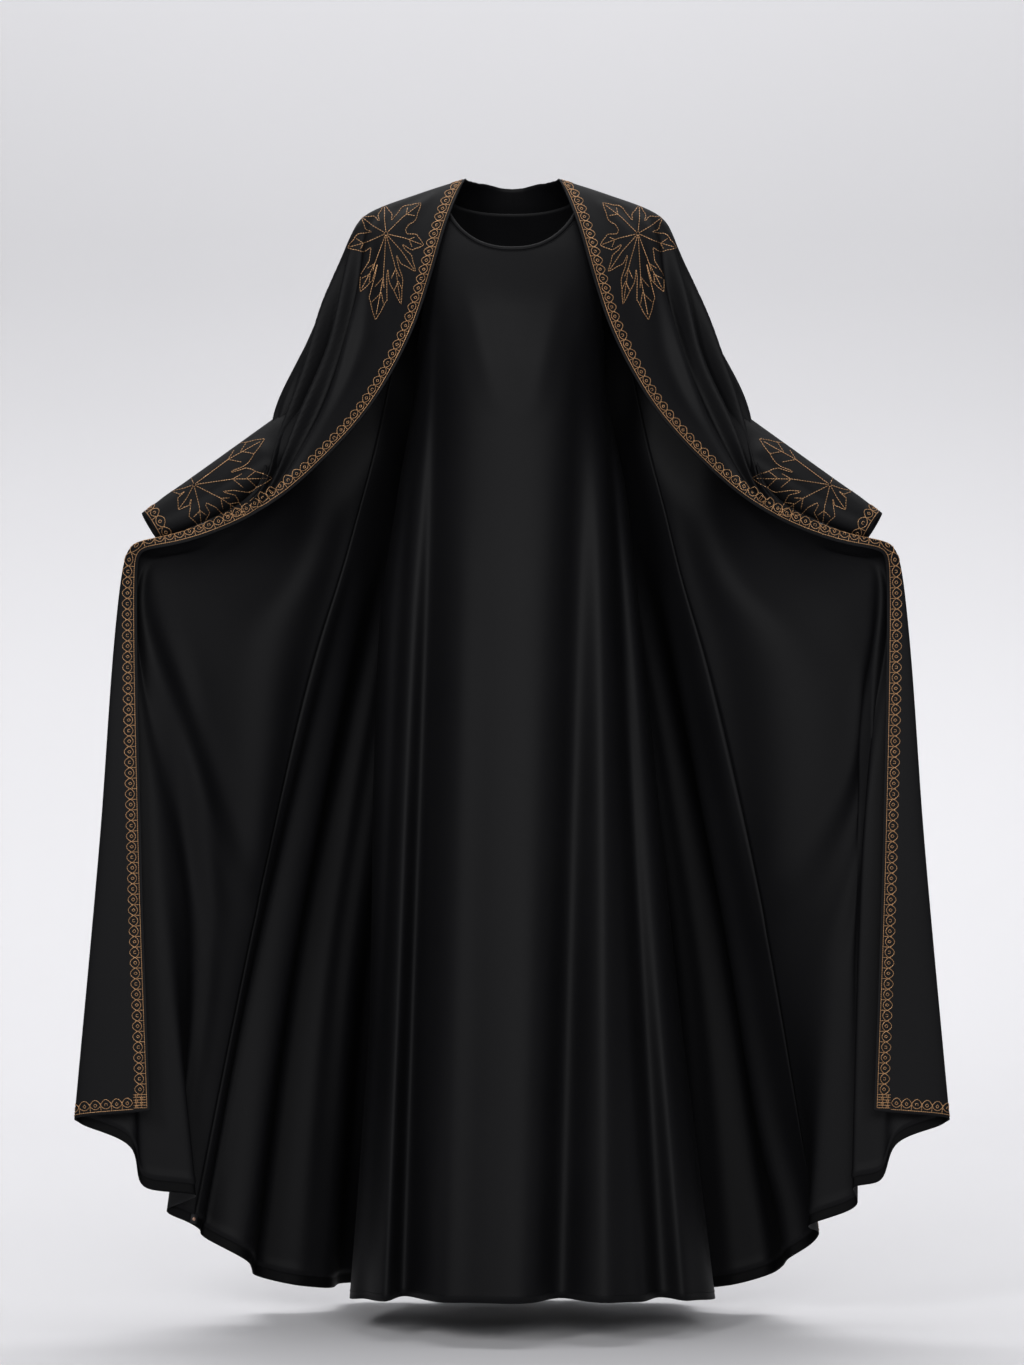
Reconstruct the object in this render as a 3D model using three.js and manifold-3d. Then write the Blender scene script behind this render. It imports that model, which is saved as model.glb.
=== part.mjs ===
// A two-piece abaya in black satin: an open robe with batwing sleeves, worn over a matching
// sleeveless inner dress. The robe keeps the pose in which its front edges are lifted out
// sideways: each edge runs from the neck to the hand, then hangs straight down.
// Millimetres, +Z up, -Y to the front, +X to the viewer's right. The origin is at the neck,
// level with the shoulder seams.
import * as THREE from "three";
import { mergeVertices } from "three/addons/utils/BufferGeometryUtils.js";
import Module from "manifold-3d";

// Driving sizes
const clothWall = 2;
const seamGap = 0.3;
const bandWall = 1;
const borderWidth = 17;
const cuffBandLength = 17;
const neckBindingWidth = 5;
const hemBorderShare = 0.0115;
const neckBorderShare = 0.0115;
const robeRows = [
  0, neckBorderShare, 0.045, 0.09, 0.135, 0.18, 0.225, 0.265, 0.3, 0.335, 0.37, 0.405, 0.44,
  0.475, 0.52, 0.6, 0.7, 0.8, 0.9, 1 - hemBorderShare, 1,
];

const cloth = new THREE.MeshStandardMaterial({ color: 0x212123, roughness: 0.5, metalness: 0 });
const dressCloth = new THREE.MeshStandardMaterial({ color: 0x202024, roughness: 0.5, metalness: 0 });
const thread = new THREE.MeshStandardMaterial({ color: 0x8a6238, roughness: 0.45, metalness: 0.5 });

// Guide lines of the robe's left half, each running from the neck (length 0) to the hem
// (length 1). The share says how far round a line lies, from the front edge (0) to the
// centre back (1). Columns of the rows: length, out from the middle, y, z.
const robeGuides = [
  { name: "front edge", share: 0, rows: [
    [0, 64, -12, 0], [0.033, 83, -50, -51], [0.087, 104, -88, -126], [0.132, 124, -104, -187],
    [0.207, 175, -112, -283], [0.272, 238, -106, -356], [0.345, 318, -96, -422],
    [0.405, 394, -87, -457], [0.44, 437, -84, -469], [0.475, 479, -74, -477], [0.52, 481, -68, -540],
    [0.755, 475, -76, -869], [1, 464, -84, -1194]] },
  { name: "over the arm", share: 0.16, rows: [
    [0, 60, 2, 4], [0.045, 120, 0, -15], [0.1, 197, 0, -48], [0.15, 223, 0, -107],
    [0.23, 268, -5, -210], [0.29, 307, -12, -296], [0.345, 321, -80, -384],
    [0.405, 397, -77, -442], [0.44, 443, -80, -457], [0.475, 490, -66, -467], [0.52, 504, -62, -527],
    [0.755, 530, -66, -850], [1, 563, -72, -1206]] },
  { name: "back of the arm", share: 0.22, rows: [
    [0, 58, 14, 3], [0.045, 116, 22, -18], [0.1, 190, 34, -55], [0.15, 215, 40, -112],
    [0.23, 261, 42, -215], [0.29, 301, 36, -305], [0.345, 324, -54, -403],
    [0.405, 396, -54, -450], [0.44, 440, -56, -473], [0.475, 485, -50, -474], [0.52, 498, -48, -532],
    [0.755, 525, -48, -858], [1, 555, -46, -1216]] },
  { name: "behind the turned strip", share: 0.27, rows: [
    [0, 55, 22, 2], [0.1, 182, 54, -64], [0.2, 232, 66, -185], [0.29, 295, 50, -318],
    [0.345, 322, -36, -414], [0.405, 390, -38, -462], [0.44, 434, -38, -480],
    [0.475, 478, -34, -484], [0.52, 490, -37, -542], [0.755, 496, -43, -878],
    [1, 483, -50, -1251]] },
  { name: "edge of the flat part", share: 0.29, rows: [
    [0, 53, 25, 2], [0.1, 179, 59, -67], [0.2, 230, 71, -190], [0.29, 291, 54, -323],
    [0.345, 319, -29, -417], [0.405, 386, -31, -468], [0.475, 474, -31, -491],
    [0.52, 487, -34, -549], [0.755, 487, -38, -900], [1, 485, -34, -1300]] },
  { name: "first fold from the hand", share: 0.33, rows: [
    [0, 50, 30, 1], [0.1, 172, 70, -72], [0.2, 225, 82, -200], [0.29, 285, 62, -332],
    [0.345, 312, -14, -424], [0.405, 378, -18, -480], [0.475, 466, -26, -504],
    [0.52, 478, -31, -562], [0.6, 468, -36, -690], [0.755, 449, -36, -925],
    [1, 404, -30, -1308]] },
  { name: "behind the first fold", share: 0.365, rows: [
    [0, 47, 35, 1], [0.1, 161, 79, -78], [0.2, 211, 87, -212], [0.29, 263, 67, -340],
    [0.345, 287, 12, -430], [0.405, 339, 3, -496], [0.475, 415, -8, -547],
    [0.52, 429, -12, -604], [0.6, 428, -16, -723], [0.755, 424, -11, -945],
    [1, 430, 2, -1323]] },
  { name: "swag below the arm", share: 0.4, rows: [
    [0, 44, 40, 0], [0.1, 150, 88, -85], [0.2, 195, 92, -225], [0.29, 240, 72, -348],
    [0.345, 262, 38, -435], [0.405, 300, 24, -512], [0.475, 365, 10, -590],
    [0.52, 380, 6, -645], [0.6, 388, 4, -755], [0.755, 398, 14, -965], [1, 452, 30, -1336]] },
  { name: "side seam", share: 0.46, rows: [
    [0, 38, 48, 0], [0.1, 125, 102, -100], [0.2, 160, 106, -250], [0.29, 180, 80, -346],
    [0.345, 200, 68, -421], [0.42, 225, 58, -515], [0.485, 255, 52, -615],
    [0.6, 295, 46, -776], [0.75, 343, 38, -985], [1, 418, 34, -1354]] },
  { name: "side back", share: 0.66, rows: [
    [0, 26, 58, -2], [0.1, 85, 116, -118], [0.2, 110, 124, -275], [0.29, 125, 130, -395],
    [0.42, 165, 138, -578], [0.6, 215, 156, -835], [0.75, 250, 168, -1048],
    [1, 292, 160, -1451]] },
  { name: "back", share: 0.83, rows: [
    [0, 13, 65, -5], [0.1, 42, 124, -140], [0.2, 55, 136, -285], [0.29, 65, 144, -415],
    [0.42, 85, 160, -600], [0.6, 110, 190, -858], [0.75, 130, 218, -1070],
    [1, 155, 258, -1464]] },
  { name: "centre back", share: 1, rows: [
    [0, 0, 67, -6], [0.1, 0, 126, -146], [0.2, 0, 140, -290], [0.29, 0, 150, -418],
    [0.42, 0, 170, -604], [0.6, 0, 205, -862], [0.75, 0, 238, -1074], [1, 0, 285, -1467]] },
];
const overArmShare = 0.16;
const sideSeamShare = 0.46;

// Where the right half hangs in folds of its own: two narrow folds from the hand.
const rightRows = {
  "behind the turned strip": [
    [0, 55, 22, 2], [0.1, 182, 54, -64], [0.2, 232, 66, -185], [0.29, 295, 50, -318],
    [0.345, 322, -36, -414], [0.405, 390, -38, -462], [0.44, 434, -38, -480],
    [0.475, 478, -34, -484], [0.52, 490, -37, -542], [0.755, 496, -43, -878],
    [1, 487, -52, -1244]],
  "edge of the flat part": [
    [0, 53, 25, 2], [0.1, 179, 59, -67], [0.2, 230, 71, -190], [0.29, 291, 54, -323],
    [0.345, 319, -29, -417], [0.405, 386, -31, -468], [0.475, 474, -31, -491],
    [0.52, 487, -34, -549], [0.755, 486, -39, -898], [1, 482, -42, -1290]],
  "first fold from the hand": [
    [0, 50, 30, 1], [0.1, 172, 70, -72], [0.2, 225, 82, -200], [0.29, 285, 62, -332],
    [0.345, 312, -14, -424], [0.405, 378, -18, -480], [0.475, 466, -26, -504],
    [0.52, 474, -31, -562], [0.6, 462, -36, -690], [0.755, 448, -40, -920],
    [1, 437, -42, -1297]],
  "behind the first fold": [
    [0, 47, 35, 1], [0.1, 161, 79, -78], [0.2, 211, 87, -212], [0.29, 263, 67, -340],
    [0.345, 287, 12, -430], [0.405, 339, 3, -496], [0.475, 430, -8, -545],
    [0.52, 452, -14, -602], [0.6, 458, -18, -722], [0.755, 450, -18, -944],
    [1, 452, -20, -1324]],
  "swag below the arm": [
    [0, 44, 40, 0], [0.1, 150, 88, -85], [0.2, 195, 92, -225], [0.29, 240, 72, -348],
    [0.345, 262, 38, -435], [0.405, 300, 24, -512], [0.475, 382, 6, -590],
    [0.52, 414, 0, -642], [0.6, 434, -6, -752], [0.755, 422, -12, -963], [1, 382, -10, -1350]],
  "side seam": [
    [0, 38, 48, 0], [0.1, 125, 102, -100], [0.2, 160, 106, -250], [0.29, 180, 80, -346],
    [0.345, 200, 68, -421], [0.42, 222, 58, -515], [0.485, 250, 52, -615],
    [0.6, 288, 46, -776], [0.75, 335, 40, -985], [1, 402, 36, -1366]],
};
const rightGuides = robeGuides.map((guide) => ({ ...guide, rows: rightRows[guide.name] ?? guide.rows }));

// Folds pressed into the robe. A fold runs from its share at the start to its share at the
// hem, comes in over the first lengths and pushes the cloth out (plus) or in (minus).
const leftFolds = [
  { start: 0.1, from: 0.1, to: 0.13, width: 0.022, depth: -12, fade: 0.36 },
  { start: 0.1, from: 0.055, to: 0.06, width: 0.02, depth: -7, fade: 0.34 },
  { start: 0.4, from: 0.49, to: 0.505, width: 0.02, depth: 26, fade: 2 },
  { start: 0.4, from: 0.54, to: 0.56, width: 0.025, depth: -20, fade: 2 },
  { start: 0.35, from: 0.6, to: 0.62, width: 0.03, depth: 30, fade: 2 },
  { start: 0.35, from: 0.7, to: 0.7, width: 0.03, depth: -22, fade: 2 },
  { start: 0.2, from: 0.79, to: 0.78, width: 0.03, depth: 24, fade: 2 },
  { start: 0.25, from: 0.88, to: 0.87, width: 0.03, depth: -24, fade: 2 },
  { start: 0.2, from: 0.96, to: 0.96, width: 0.028, depth: 22, fade: 2 },
];
const rightFolds = [
  { start: 0.1, from: 0.095, to: 0.12, width: 0.02, depth: -11, fade: 0.36 },
  { start: 0.12, from: 0.05, to: 0.055, width: 0.018, depth: -6, fade: 0.34 },
  { start: 0.4, from: 0.53, to: 0.545, width: 0.025, depth: -18, fade: 2 },
  { start: 0.35, from: 0.59, to: 0.605, width: 0.028, depth: 26, fade: 2 },
  { start: 0.35, from: 0.68, to: 0.69, width: 0.03, depth: -24, fade: 2 },
  { start: 0.22, from: 0.77, to: 0.77, width: 0.03, depth: 22, fade: 2 },
  { start: 0.25, from: 0.86, to: 0.86, width: 0.03, depth: -20, fade: 2 },
];

const leftHalf = { side: "left", guides: robeGuides, folds: leftFolds };
const rightHalf = { side: "right", guides: rightGuides, folds: rightFolds };

// Smooth curve through rising stations that never overshoots them.
function curveThrough(stations, values, at) {
  const last = stations.length - 1;
  const clamped = Math.min(Math.max(at, stations[0]), stations[last]);
  const slopeOf = (k) => (values[k + 1] - values[k]) / (stations[k + 1] - stations[k]);
  const tangentAt = (k) => {
    if (k === 0) return slopeOf(0);
    if (k === last) return slopeOf(last - 1);
    const before = slopeOf(k - 1);
    const after = slopeOf(k);
    return before * after <= 0 ? 0 : (2 * before * after) / (before + after);
  };
  let k = 0;
  while (k < last - 1 && clamped > stations[k + 1]) k += 1;
  const span = stations[k + 1] - stations[k];
  const t = (clamped - stations[k]) / span;
  const rise = t * t * (3 - 2 * t);
  return values[k] * (1 - rise) + values[k + 1] * rise
    + span * (t * (1 - t) * (1 - t) * tangentAt(k) - t * t * (1 - t) * tangentAt(k + 1));
}

const hemRow = robeRows.length - 2;
const guideShares = robeGuides.map((guide) => guide.share);

// A point of the robe's form before its folds, on the left half.
function robeForm(guides, share, length) {
  const across = guides.map(({ rows }) => [1, 2, 3].map(
    (column) => curveThrough(rows.map((row) => row[0]), rows.map((row) => row[column]), length),
  ));
  const [out, y, z] = [0, 1, 2].map(
    (axis) => curveThrough(guideShares, across.map((point) => point[axis]), share),
  );
  return new THREE.Vector3(-out, y, z);
}

// The way the cloth's outside faces on the unfolded form.
function robeFacing(guides, share, length) {
  const step = 0.004;
  const a = robeForm(guides, Math.max(share - step, 0), length);
  const b = robeForm(guides, Math.min(share + step, 1), length);
  const c = robeForm(guides, share, Math.max(length - step, 0));
  const d = robeForm(guides, share, Math.min(length + step, 1));
  return b.sub(a).cross(d.sub(c)).normalize();
}

function foldDepth(folds, share, length) {
  return folds.reduce((sum, fold) => {
    const along = Math.min(Math.max((length - fold.start) / (1 - fold.start), 0), 1);
    const centre = fold.from + (fold.to - fold.from) * along;
    const across = Math.exp(-(((share - centre) / fold.width) ** 2));
    const out = fold.fade > 1 ? 1 : Math.min(Math.max((fold.fade - length) / 0.08, 0), 1);
    const rise = fold.fade > 1 ? along ** 0.8 : Math.min(along * 8, 1);
    return sum + fold.depth * across * rise * out;
  }, 0);
}

function robePoint(half, share, length) {
  const facing = robeFacing(half.guides, share, length);
  const pressed = foldDepth(half.folds, share, length);
  return robeForm(half.guides, share, length).addScaledVector(facing, pressed);
}

// Normals of a grid of points, from its neighbours. columns[i][j] is point j of column i,
// and in a tube the last column meets the first.
function gridNormals(columns, tube = false) {
  const count = columns.length;
  const lastRow = columns[0].length - 1;
  return columns.map((column, i) => column.map((_, j) => {
    const next = tube ? (i + 1) % count : Math.min(i + 1, count - 1);
    const previous = tube ? (i + count - 1) % count : Math.max(i - 1, 0);
    const across = columns[next][j].clone().sub(columns[previous][j]);
    const down = column[Math.min(j + 1, lastRow)].clone().sub(column[Math.max(j - 1, 0)]);
    return across.cross(down).normalize();
  }));
}

function movedOut(columns, normals, distance) {
  return columns.map((column, i) => column.map(
    (point, j) => point.clone().addScaledVector(normals[i][j], distance),
  ));
}

// One closed body between two grids of the same size: the outer face, the inner face and
// the four narrow edges, or none along the sides where the grid closes round a tube.
function bodyBetween(outer, inner, tube = false) {
  const count = outer.length;
  const rows = outer[0].length;
  const points = [...outer.flat(), ...inner.flat()];
  const at = (side, i, j) => side * count * rows + (i % count) * rows + j;
  const faces = [];
  const quad = (a, b, c, d) => faces.push(a, b, c, a, c, d);
  const spans = tube ? count : count - 1;
  for (let i = 0; i < spans; i += 1) {
    for (let j = 0; j < rows - 1; j += 1) {
      quad(at(0, i, j), at(0, i + 1, j), at(0, i + 1, j + 1), at(0, i, j + 1));
      quad(at(1, i, j), at(1, i, j + 1), at(1, i + 1, j + 1), at(1, i + 1, j));
    }
    quad(at(0, i, 0), at(1, i, 0), at(1, i + 1, 0), at(0, i + 1, 0));
    quad(at(0, i, rows - 1), at(0, i + 1, rows - 1), at(1, i + 1, rows - 1), at(1, i, rows - 1));
  }
  for (let j = 0; !tube && j < rows - 1; j += 1) {
    quad(at(0, 0, j), at(0, 0, j + 1), at(1, 0, j + 1), at(1, 0, j));
    quad(at(0, count - 1, j), at(1, count - 1, j), at(1, count - 1, j + 1), at(0, count - 1, j + 1));
  }
  return geometryOf(points, faces);
}

function geometryOf(points, faces) {
  const geometry = new THREE.BufferGeometry();
  geometry.setAttribute("position", new THREE.Float32BufferAttribute(
    points.flatMap((point) => [point.x, point.y, point.z]), 3,
  ));
  geometry.setIndex(volumeOf(points, faces) < 0 ? [...faces].reverse() : faces);
  return geometry;
}

function volumeOf(points, faces) {
  let volume = 0;
  for (let k = 0; k < faces.length; k += 3) {
    const [a, b, c] = [points[faces[k]], points[faces[k + 1]], points[faces[k + 2]]];
    volume += a.dot(b.clone().cross(c)) / 6;
  }
  return volume;
}

function clothBody({ columns, normals }) {
  return bodyBetween(columns, movedOut(columns, normals, -clothWall));
}

// A thin band that lies on the outside of a panel, between two of its rows, ending just
// short of the second.
function bandOn({ columns, normals }, fromRow, toRow) {
  const cut = (grid) => grid.map((column) => {
    const rows = column.slice(fromRow, toRow + 1);
    const last = rows.length - 1;
    const back = rows[last - 1].clone().sub(rows[last]).normalize();
    rows[last] = rows[last].clone().addScaledVector(back, seamGap);
    return rows;
  });
  return bodyBetween(
    cut(movedOut(columns, normals, seamGap + bandWall)),
    cut(movedOut(columns, normals, seamGap)),
  );
}

function mirrored(columns) {
  return columns.map((column) => column.map((point) => new THREE.Vector3(-point.x, point.y, point.z)));
}

const wasm = await Module();
wasm.setup();

function solidOf(geometry) {
  const plain = new THREE.BufferGeometry();
  plain.setAttribute("position", geometry.getAttribute("position"));
  plain.setIndex(geometry.getIndex());
  const merged = mergeVertices(plain, 1e-4);
  return new wasm.Manifold(new wasm.Mesh({
    numProp: 3,
    vertProperties: new Float32Array(merged.attributes.position.array),
    triVerts: new Uint32Array(merged.index.array),
  }));
}

function geometryFrom(solid) {
  const { vertProperties, triVerts } = solid.getMesh();
  const geometry = new THREE.BufferGeometry();
  geometry.setAttribute("position", new THREE.BufferAttribute(vertProperties, 3));
  geometry.setIndex(new THREE.BufferAttribute(triVerts, 1));
  return geometry;
}

// Share at which the border ends, so that it keeps its width in cloth along the whole edge.
function borderShare(length) {
  const probe = 0.02;
  const near = robeForm(robeGuides, 0, length);
  const perShare = near.distanceTo(robeForm(robeGuides, probe, length)) / probe;
  return Math.min(borderWidth / perShare, overArmShare * 0.72);
}

function evenly(from, to, parts) {
  return Array.from({ length: parts + 1 }, (_, k) => from + ((to - from) * k) / parts);
}

const sidePanelParts = { strip: 5, toSeam: 18 };
const backPanelParts = 13;

// Columns of the side panel: the front edge, the border's inner line, the strip over the
// arm, then the cloth behind it as far as the side seam.
function sidePanelColumns(half) {
  const { strip, toSeam } = sidePanelParts;
  const shareOf = (column, length) => {
    if (column === 0) return 0;
    const border = borderShare(length);
    if (column <= strip + 1) return border + ((overArmShare - border) * (column - 1)) / strip;
    return overArmShare + ((sideSeamShare - overArmShare) * (column - 1 - strip)) / toSeam;
  };
  return Array.from({ length: strip + toSeam + 2 }, (_, column) => robeRows.map(
    (length) => robePoint(half, shareOf(column, length), length),
  ));
}

function backPanelColumns() {
  const shares = evenly(sideSeamShare, 1, backPanelParts);
  const columnsOf = (half) => shares.map(
    (share) => robeRows.map((length) => robePoint(half, share, length)),
  );
  const left = columnsOf(leftHalf);
  const right = mirrored(columnsOf(rightHalf)).reverse().slice(1);
  left[backPanelParts] = left[backPanelParts].map((point) => new THREE.Vector3(0, point.y, point.z));
  return [...left, ...right];
}

// The whole robe as one run of columns, from the left front edge round the back to the
// right front edge, so that neighbouring panels share their normals at the seams.
const leftSide = sidePanelColumns(leftHalf);
const rightSide = mirrored(sidePanelColumns(rightHalf)).reverse();
const robeColumns = [...leftSide, ...backPanelColumns().slice(1, -1), ...rightSide];
const robeNormals = gridNormals(robeColumns);
const lastColumn = robeColumns.length - 1;
const leftSeam = leftSide.length - 1;
const rightSeam = lastColumn - rightSide.length + 1;

// Moves a column towards its neighbour, to take a gap off that side of a panel.
function shortenedAt(columns, index, neighbour, gap) {
  return columns.map((column, i) => (i !== index ? column : column.map((point, j) => {
    const way = columns[neighbour][j].clone().sub(point);
    return point.clone().addScaledVector(way.normalize(), gap);
  })));
}

// The columns from one index to another, with a gap taken off at the seams they end on.
function robePanel(from, to, gap) {
  const isSeam = (index) => index === leftSeam || index === rightSeam;
  let columns = robeColumns.slice(from, to + 1);
  const last = columns.length - 1;
  if (isSeam(from)) columns = shortenedAt(columns, 0, 1, gap);
  if (isSeam(to)) columns = shortenedAt(columns, last, last - 1, gap);
  return { columns, normals: robeNormals.slice(from, to + 1) };
}

// Forearm sleeves: a tapering tube from inside the elbow to the cuff.
const forearm = {
  elbow: new THREE.Vector3(-262, -14, -322),
  cuff: new THREE.Vector3(-464, -50, -446),
  elbowRadius: 40,
  cuffRadius: 22,
  sides: 16,
  rings: 5,
};

function sleeveRing(share, extra) {
  const { elbow, cuff, elbowRadius, cuffRadius, sides } = forearm;
  const axis = cuff.clone().sub(elbow).normalize();
  const across = new THREE.Vector3(0, 1, 0).cross(axis).normalize();
  const up = axis.clone().cross(across);
  const centre = elbow.clone().lerp(cuff, share);
  const radius = elbowRadius + (cuffRadius - elbowRadius) * share + extra;
  return Array.from({ length: sides }, (_, k) => {
    const angle = (2 * Math.PI * k) / sides;
    return centre.clone()
      .addScaledVector(across, radius * Math.cos(angle))
      .addScaledVector(up, radius * Math.sin(angle));
  });
}

function sleeveColumns(shares, extra) {
  const rings = shares.map((share) => sleeveRing(share, extra));
  return Array.from({ length: forearm.sides }, (_, k) => rings.map((ring) => ring[k]));
}

function tubeBody(shares, outerExtra, innerExtra) {
  return bodyBetween(sleeveColumns(shares, outerExtra), sleeveColumns(shares, innerExtra), true);
}

// The space that a sleeve and its clearance take up, as one filled body.
function sleeveRoom() {
  const rings = evenly(-0.02, 1.01, forearm.rings).map((share) => sleeveRing(share, seamGap));
  const { sides } = forearm;
  const faces = [];
  rings.slice(1).forEach((_, r) => {
    for (let k = 0; k < sides; k += 1) {
      const [a, b] = [r * sides + k, r * sides + ((k + 1) % sides)];
      faces.push(a, b, b + sides, a, b + sides, a + sides);
    }
  });
  for (let k = 1; k < sides - 1; k += 1) {
    faces.push(0, k + 1, k);
    const end = (rings.length - 1) * sides;
    faces.push(end, end + k, end + k + 1);
  }
  return geometryOf(rings.flat(), faces);
}

// Inner dress: level sections from the shoulders to the hem.
const dressSections = [
  { z: -11, left: 84, right: 84, front: 10, back: 12 },
  { z: -19, left: 106, right: 106, front: 20, back: 22 },
  { z: -35, left: 134, right: 134, front: 34, back: 36 },
  { z: -62, left: 144, right: 144, front: 54, back: 54 },
  { z: -100, left: 140, right: 140, front: 79, back: 74 },
  { z: -165, left: 128, right: 128, front: 104, back: 92 },
  { z: -246, left: 126, right: 122, front: 114, back: 98 },
  { z: -403, left: 148, right: 148, front: 116, back: 102 },
  { z: -563, left: 171, right: 166, front: 124, back: 112 },
  { z: -800, left: 180, right: 190, front: 142, back: 130 },
  { z: -1055, left: 184, right: 216, front: 160, back: 150 },
  { z: -1250, left: 196, right: 240, front: 172, back: 166 },
  { z: -1446, left: 211, right: 264, front: 184, back: 184 },
];
const dressSides = 60;
// Folds of the dress. x is where a front or back fold lies at the bust and at the hem.
const dressFolds = [
  { face: "front", top: -100, hem: -133, width: 26, depth: 34 },
  { face: "front", top: 94, hem: 62, width: 24, depth: 36 },
  { face: "front", top: 120, hem: 196, width: 20, depth: 24 },
  { face: "front", top: -118, hem: -192, width: 13, depth: 14 },
  { face: "back", top: -85, hem: -150, width: 26, depth: 28 },
  { face: "back", top: -20, hem: -40, width: 26, depth: 30 },
  { face: "back", top: 52, hem: 84, width: 26, depth: 26 },
  { face: "back", top: 96, hem: 186, width: 24, depth: 24 },
];
const foldTop = -190;
const dressHem = -1446;
const frontHemLift = 26;

function dressPoint(angle, z) {
  const stations = dressSections.map((section) => -section.z);
  const read = (name) => curveThrough(stations, dressSections.map((section) => section[name]), -z);
  const side = Math.cos(angle);
  const face = Math.sin(angle);
  const half = read(side < 0 ? "left" : "right");
  const deep = read(face < 0 ? "front" : "back");
  const x = half * Math.sign(side) * Math.abs(side) ** 0.9;
  const along = Math.min(Math.max((foldTop - z) / (foldTop - dressHem), 0), 1);
  const pressed = dressFolds.reduce((sum, fold) => {
    if ((fold.face === "front") !== (face < 0)) return sum;
    const centre = fold.top + (fold.hem - fold.top) * along;
    return sum + fold.depth * along ** 0.6 * Math.exp(-(((x - centre) / fold.width) ** 2));
  }, 0);
  const depth = deep * Math.abs(face) ** 0.9 - pressed * Math.min(Math.abs(face) * 2, 1);
  const lift = face < 0 ? frontHemLift * along ** 2 * Math.abs(face) : 0;
  return new THREE.Vector3(x, Math.sign(face) * Math.max(depth, 0), z + lift);
}

const dressRows = [-11, -20, -36, -64, -105, -165, -246, -340, -450, -600, -820, -1100, -1446];

// The dress as a tube between two distances from its outside, with the given rows.
function dressTube(outside, inside, rows) {
  const angles = evenly(2 * Math.PI, 0, dressSides).slice(0, -1);
  const columns = angles.map((angle) => rows.map((z) => dressPoint(angle, z)));
  const normals = gridNormals(columns, true);
  return solidOf(bodyBetween(
    movedOut(columns, normals, outside), movedOut(columns, normals, inside), true,
  ));
}

// The part of a solid above or below the level where long panels are split into two simpler
// bodies and, for the dress, in front of or behind the plane of its side and shoulder seams.
const splitLevel = -560;
const heights = [["upper", 1], ["lower", -1]];

function shareOf(solid, height, face = 0) {
  const reach = 1600;
  const block = new THREE.BoxGeometry(reach, reach, reach);
  const clear = (reach + seamGap) / 2;
  block.translate(0, face * clear, splitLevel + height * clear);
  return solid.intersect(solidOf(block));
}

// A flat outline in X and Z, extruded along Y, as a cutter.
function frontCutter(shape, fromY, toY) {
  const geometry = new THREE.ExtrudeGeometry(shape, {
    depth: toY - fromY, bevelEnabled: false, curveSegments: 12,
  });
  geometry.rotateX(Math.PI / 2);
  geometry.translate(0, toY, 0);
  return solidOf(geometry);
}

const neckline = { halfWidth: 86, frontDrop: -87, backDrop: -40, top: 60, straightTo: -17 };

function neckShape(drop, margin) {
  const half = neckline.halfWidth + margin;
  const shape = new THREE.Shape();
  shape.moveTo(-half, neckline.top);
  shape.lineTo(-half, neckline.straightTo);
  shape.bezierCurveTo(-half + 6, drop * 0.62, -half * 0.52, drop - margin, 0, drop - margin);
  shape.bezierCurveTo(half * 0.52, drop - margin, half - 6, drop * 0.62, half, neckline.straightTo);
  shape.lineTo(half, neckline.top);
  shape.closePath();
  return shape;
}

const armhole = { middle: -134, halfHeight: 98, halfDepth: 58, insideX: 118, reach: 90 };

function armholeCutter(side) {
  const outline = new THREE.Shape();
  outline.absellipse(0, 0, armhole.halfDepth, armhole.halfHeight, 0, 2 * Math.PI);
  const geometry = new THREE.ExtrudeGeometry(outline, {
    depth: armhole.reach, bevelEnabled: false, curveSegments: 10,
  });
  const standing = new THREE.Matrix4().makeBasis(
    new THREE.Vector3(0, 1, 0), new THREE.Vector3(0, 0, 1), new THREE.Vector3(1, 0, 0),
  );
  geometry.applyMatrix4(standing);
  geometry.translate(side > 0 ? armhole.insideX : -armhole.insideX - armhole.reach, 0, armhole.middle);
  return solidOf(geometry);
}

// Left-hand geometry turned over for the right side.
function forSide(geometry, side) {
  if (side === "left") return geometry;
  geometry.scale(-1, 1, 1);
  geometry.setIndex([...geometry.getIndex().array].reverse());
  return geometry;
}

const part = new THREE.Group();

function addPiece(name, geometry, material) {
  const mesh = new THREE.Mesh(geometry, material);
  mesh.name = name;
  part.add(mesh);
  return mesh;
}

const bandGap = bandWall + 2 * seamGap;
const borderColumns = 2;
const robePieces = [
  { side: "left", from: 0, to: leftSeam, edge: [0, 1], neck: [borderColumns, leftSeam] },
  {
    side: "right", from: rightSeam, to: lastColumn,
    edge: [lastColumn - 1, lastColumn], neck: [rightSeam, lastColumn - borderColumns],
  },
];

for (const { side, from, to, edge, neck } of robePieces) {
  const panel = solidOf(clothBody(robePanel(from, to, seamGap / 2)))
    .subtract(solidOf(forSide(sleeveRoom(), side)));
  for (const [level, height] of heights) {
    addPiece(`robe_${side}_${level}`, geometryFrom(shareOf(panel, height)), cloth);
  }
  addPiece(`front_border_${side}`, bandOn(robePanel(...edge, 0), 0, hemRow), thread);
  addPiece(`hem_border_${side}`, bandOn(robePanel(from, to, bandGap), hemRow, hemRow + 1), thread);
  addPiece(`neck_border_${side}`, bandOn(robePanel(...neck, bandGap), 0, 1), thread);

  const cuffStart = 1 - cuffBandLength / forearm.cuff.distanceTo(forearm.elbow);
  const sleeve = tubeBody(evenly(0, 1, forearm.rings), 0, -clothWall);
  const cuffBand = tubeBody([cuffStart, 0.999], seamGap + bandWall, seamGap);
  addPiece(`sleeve_${side}`, forSide(sleeve, side), cloth);
  addPiece(`cuff_border_${side}`, forSide(cuffBand, side), thread);
}

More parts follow.
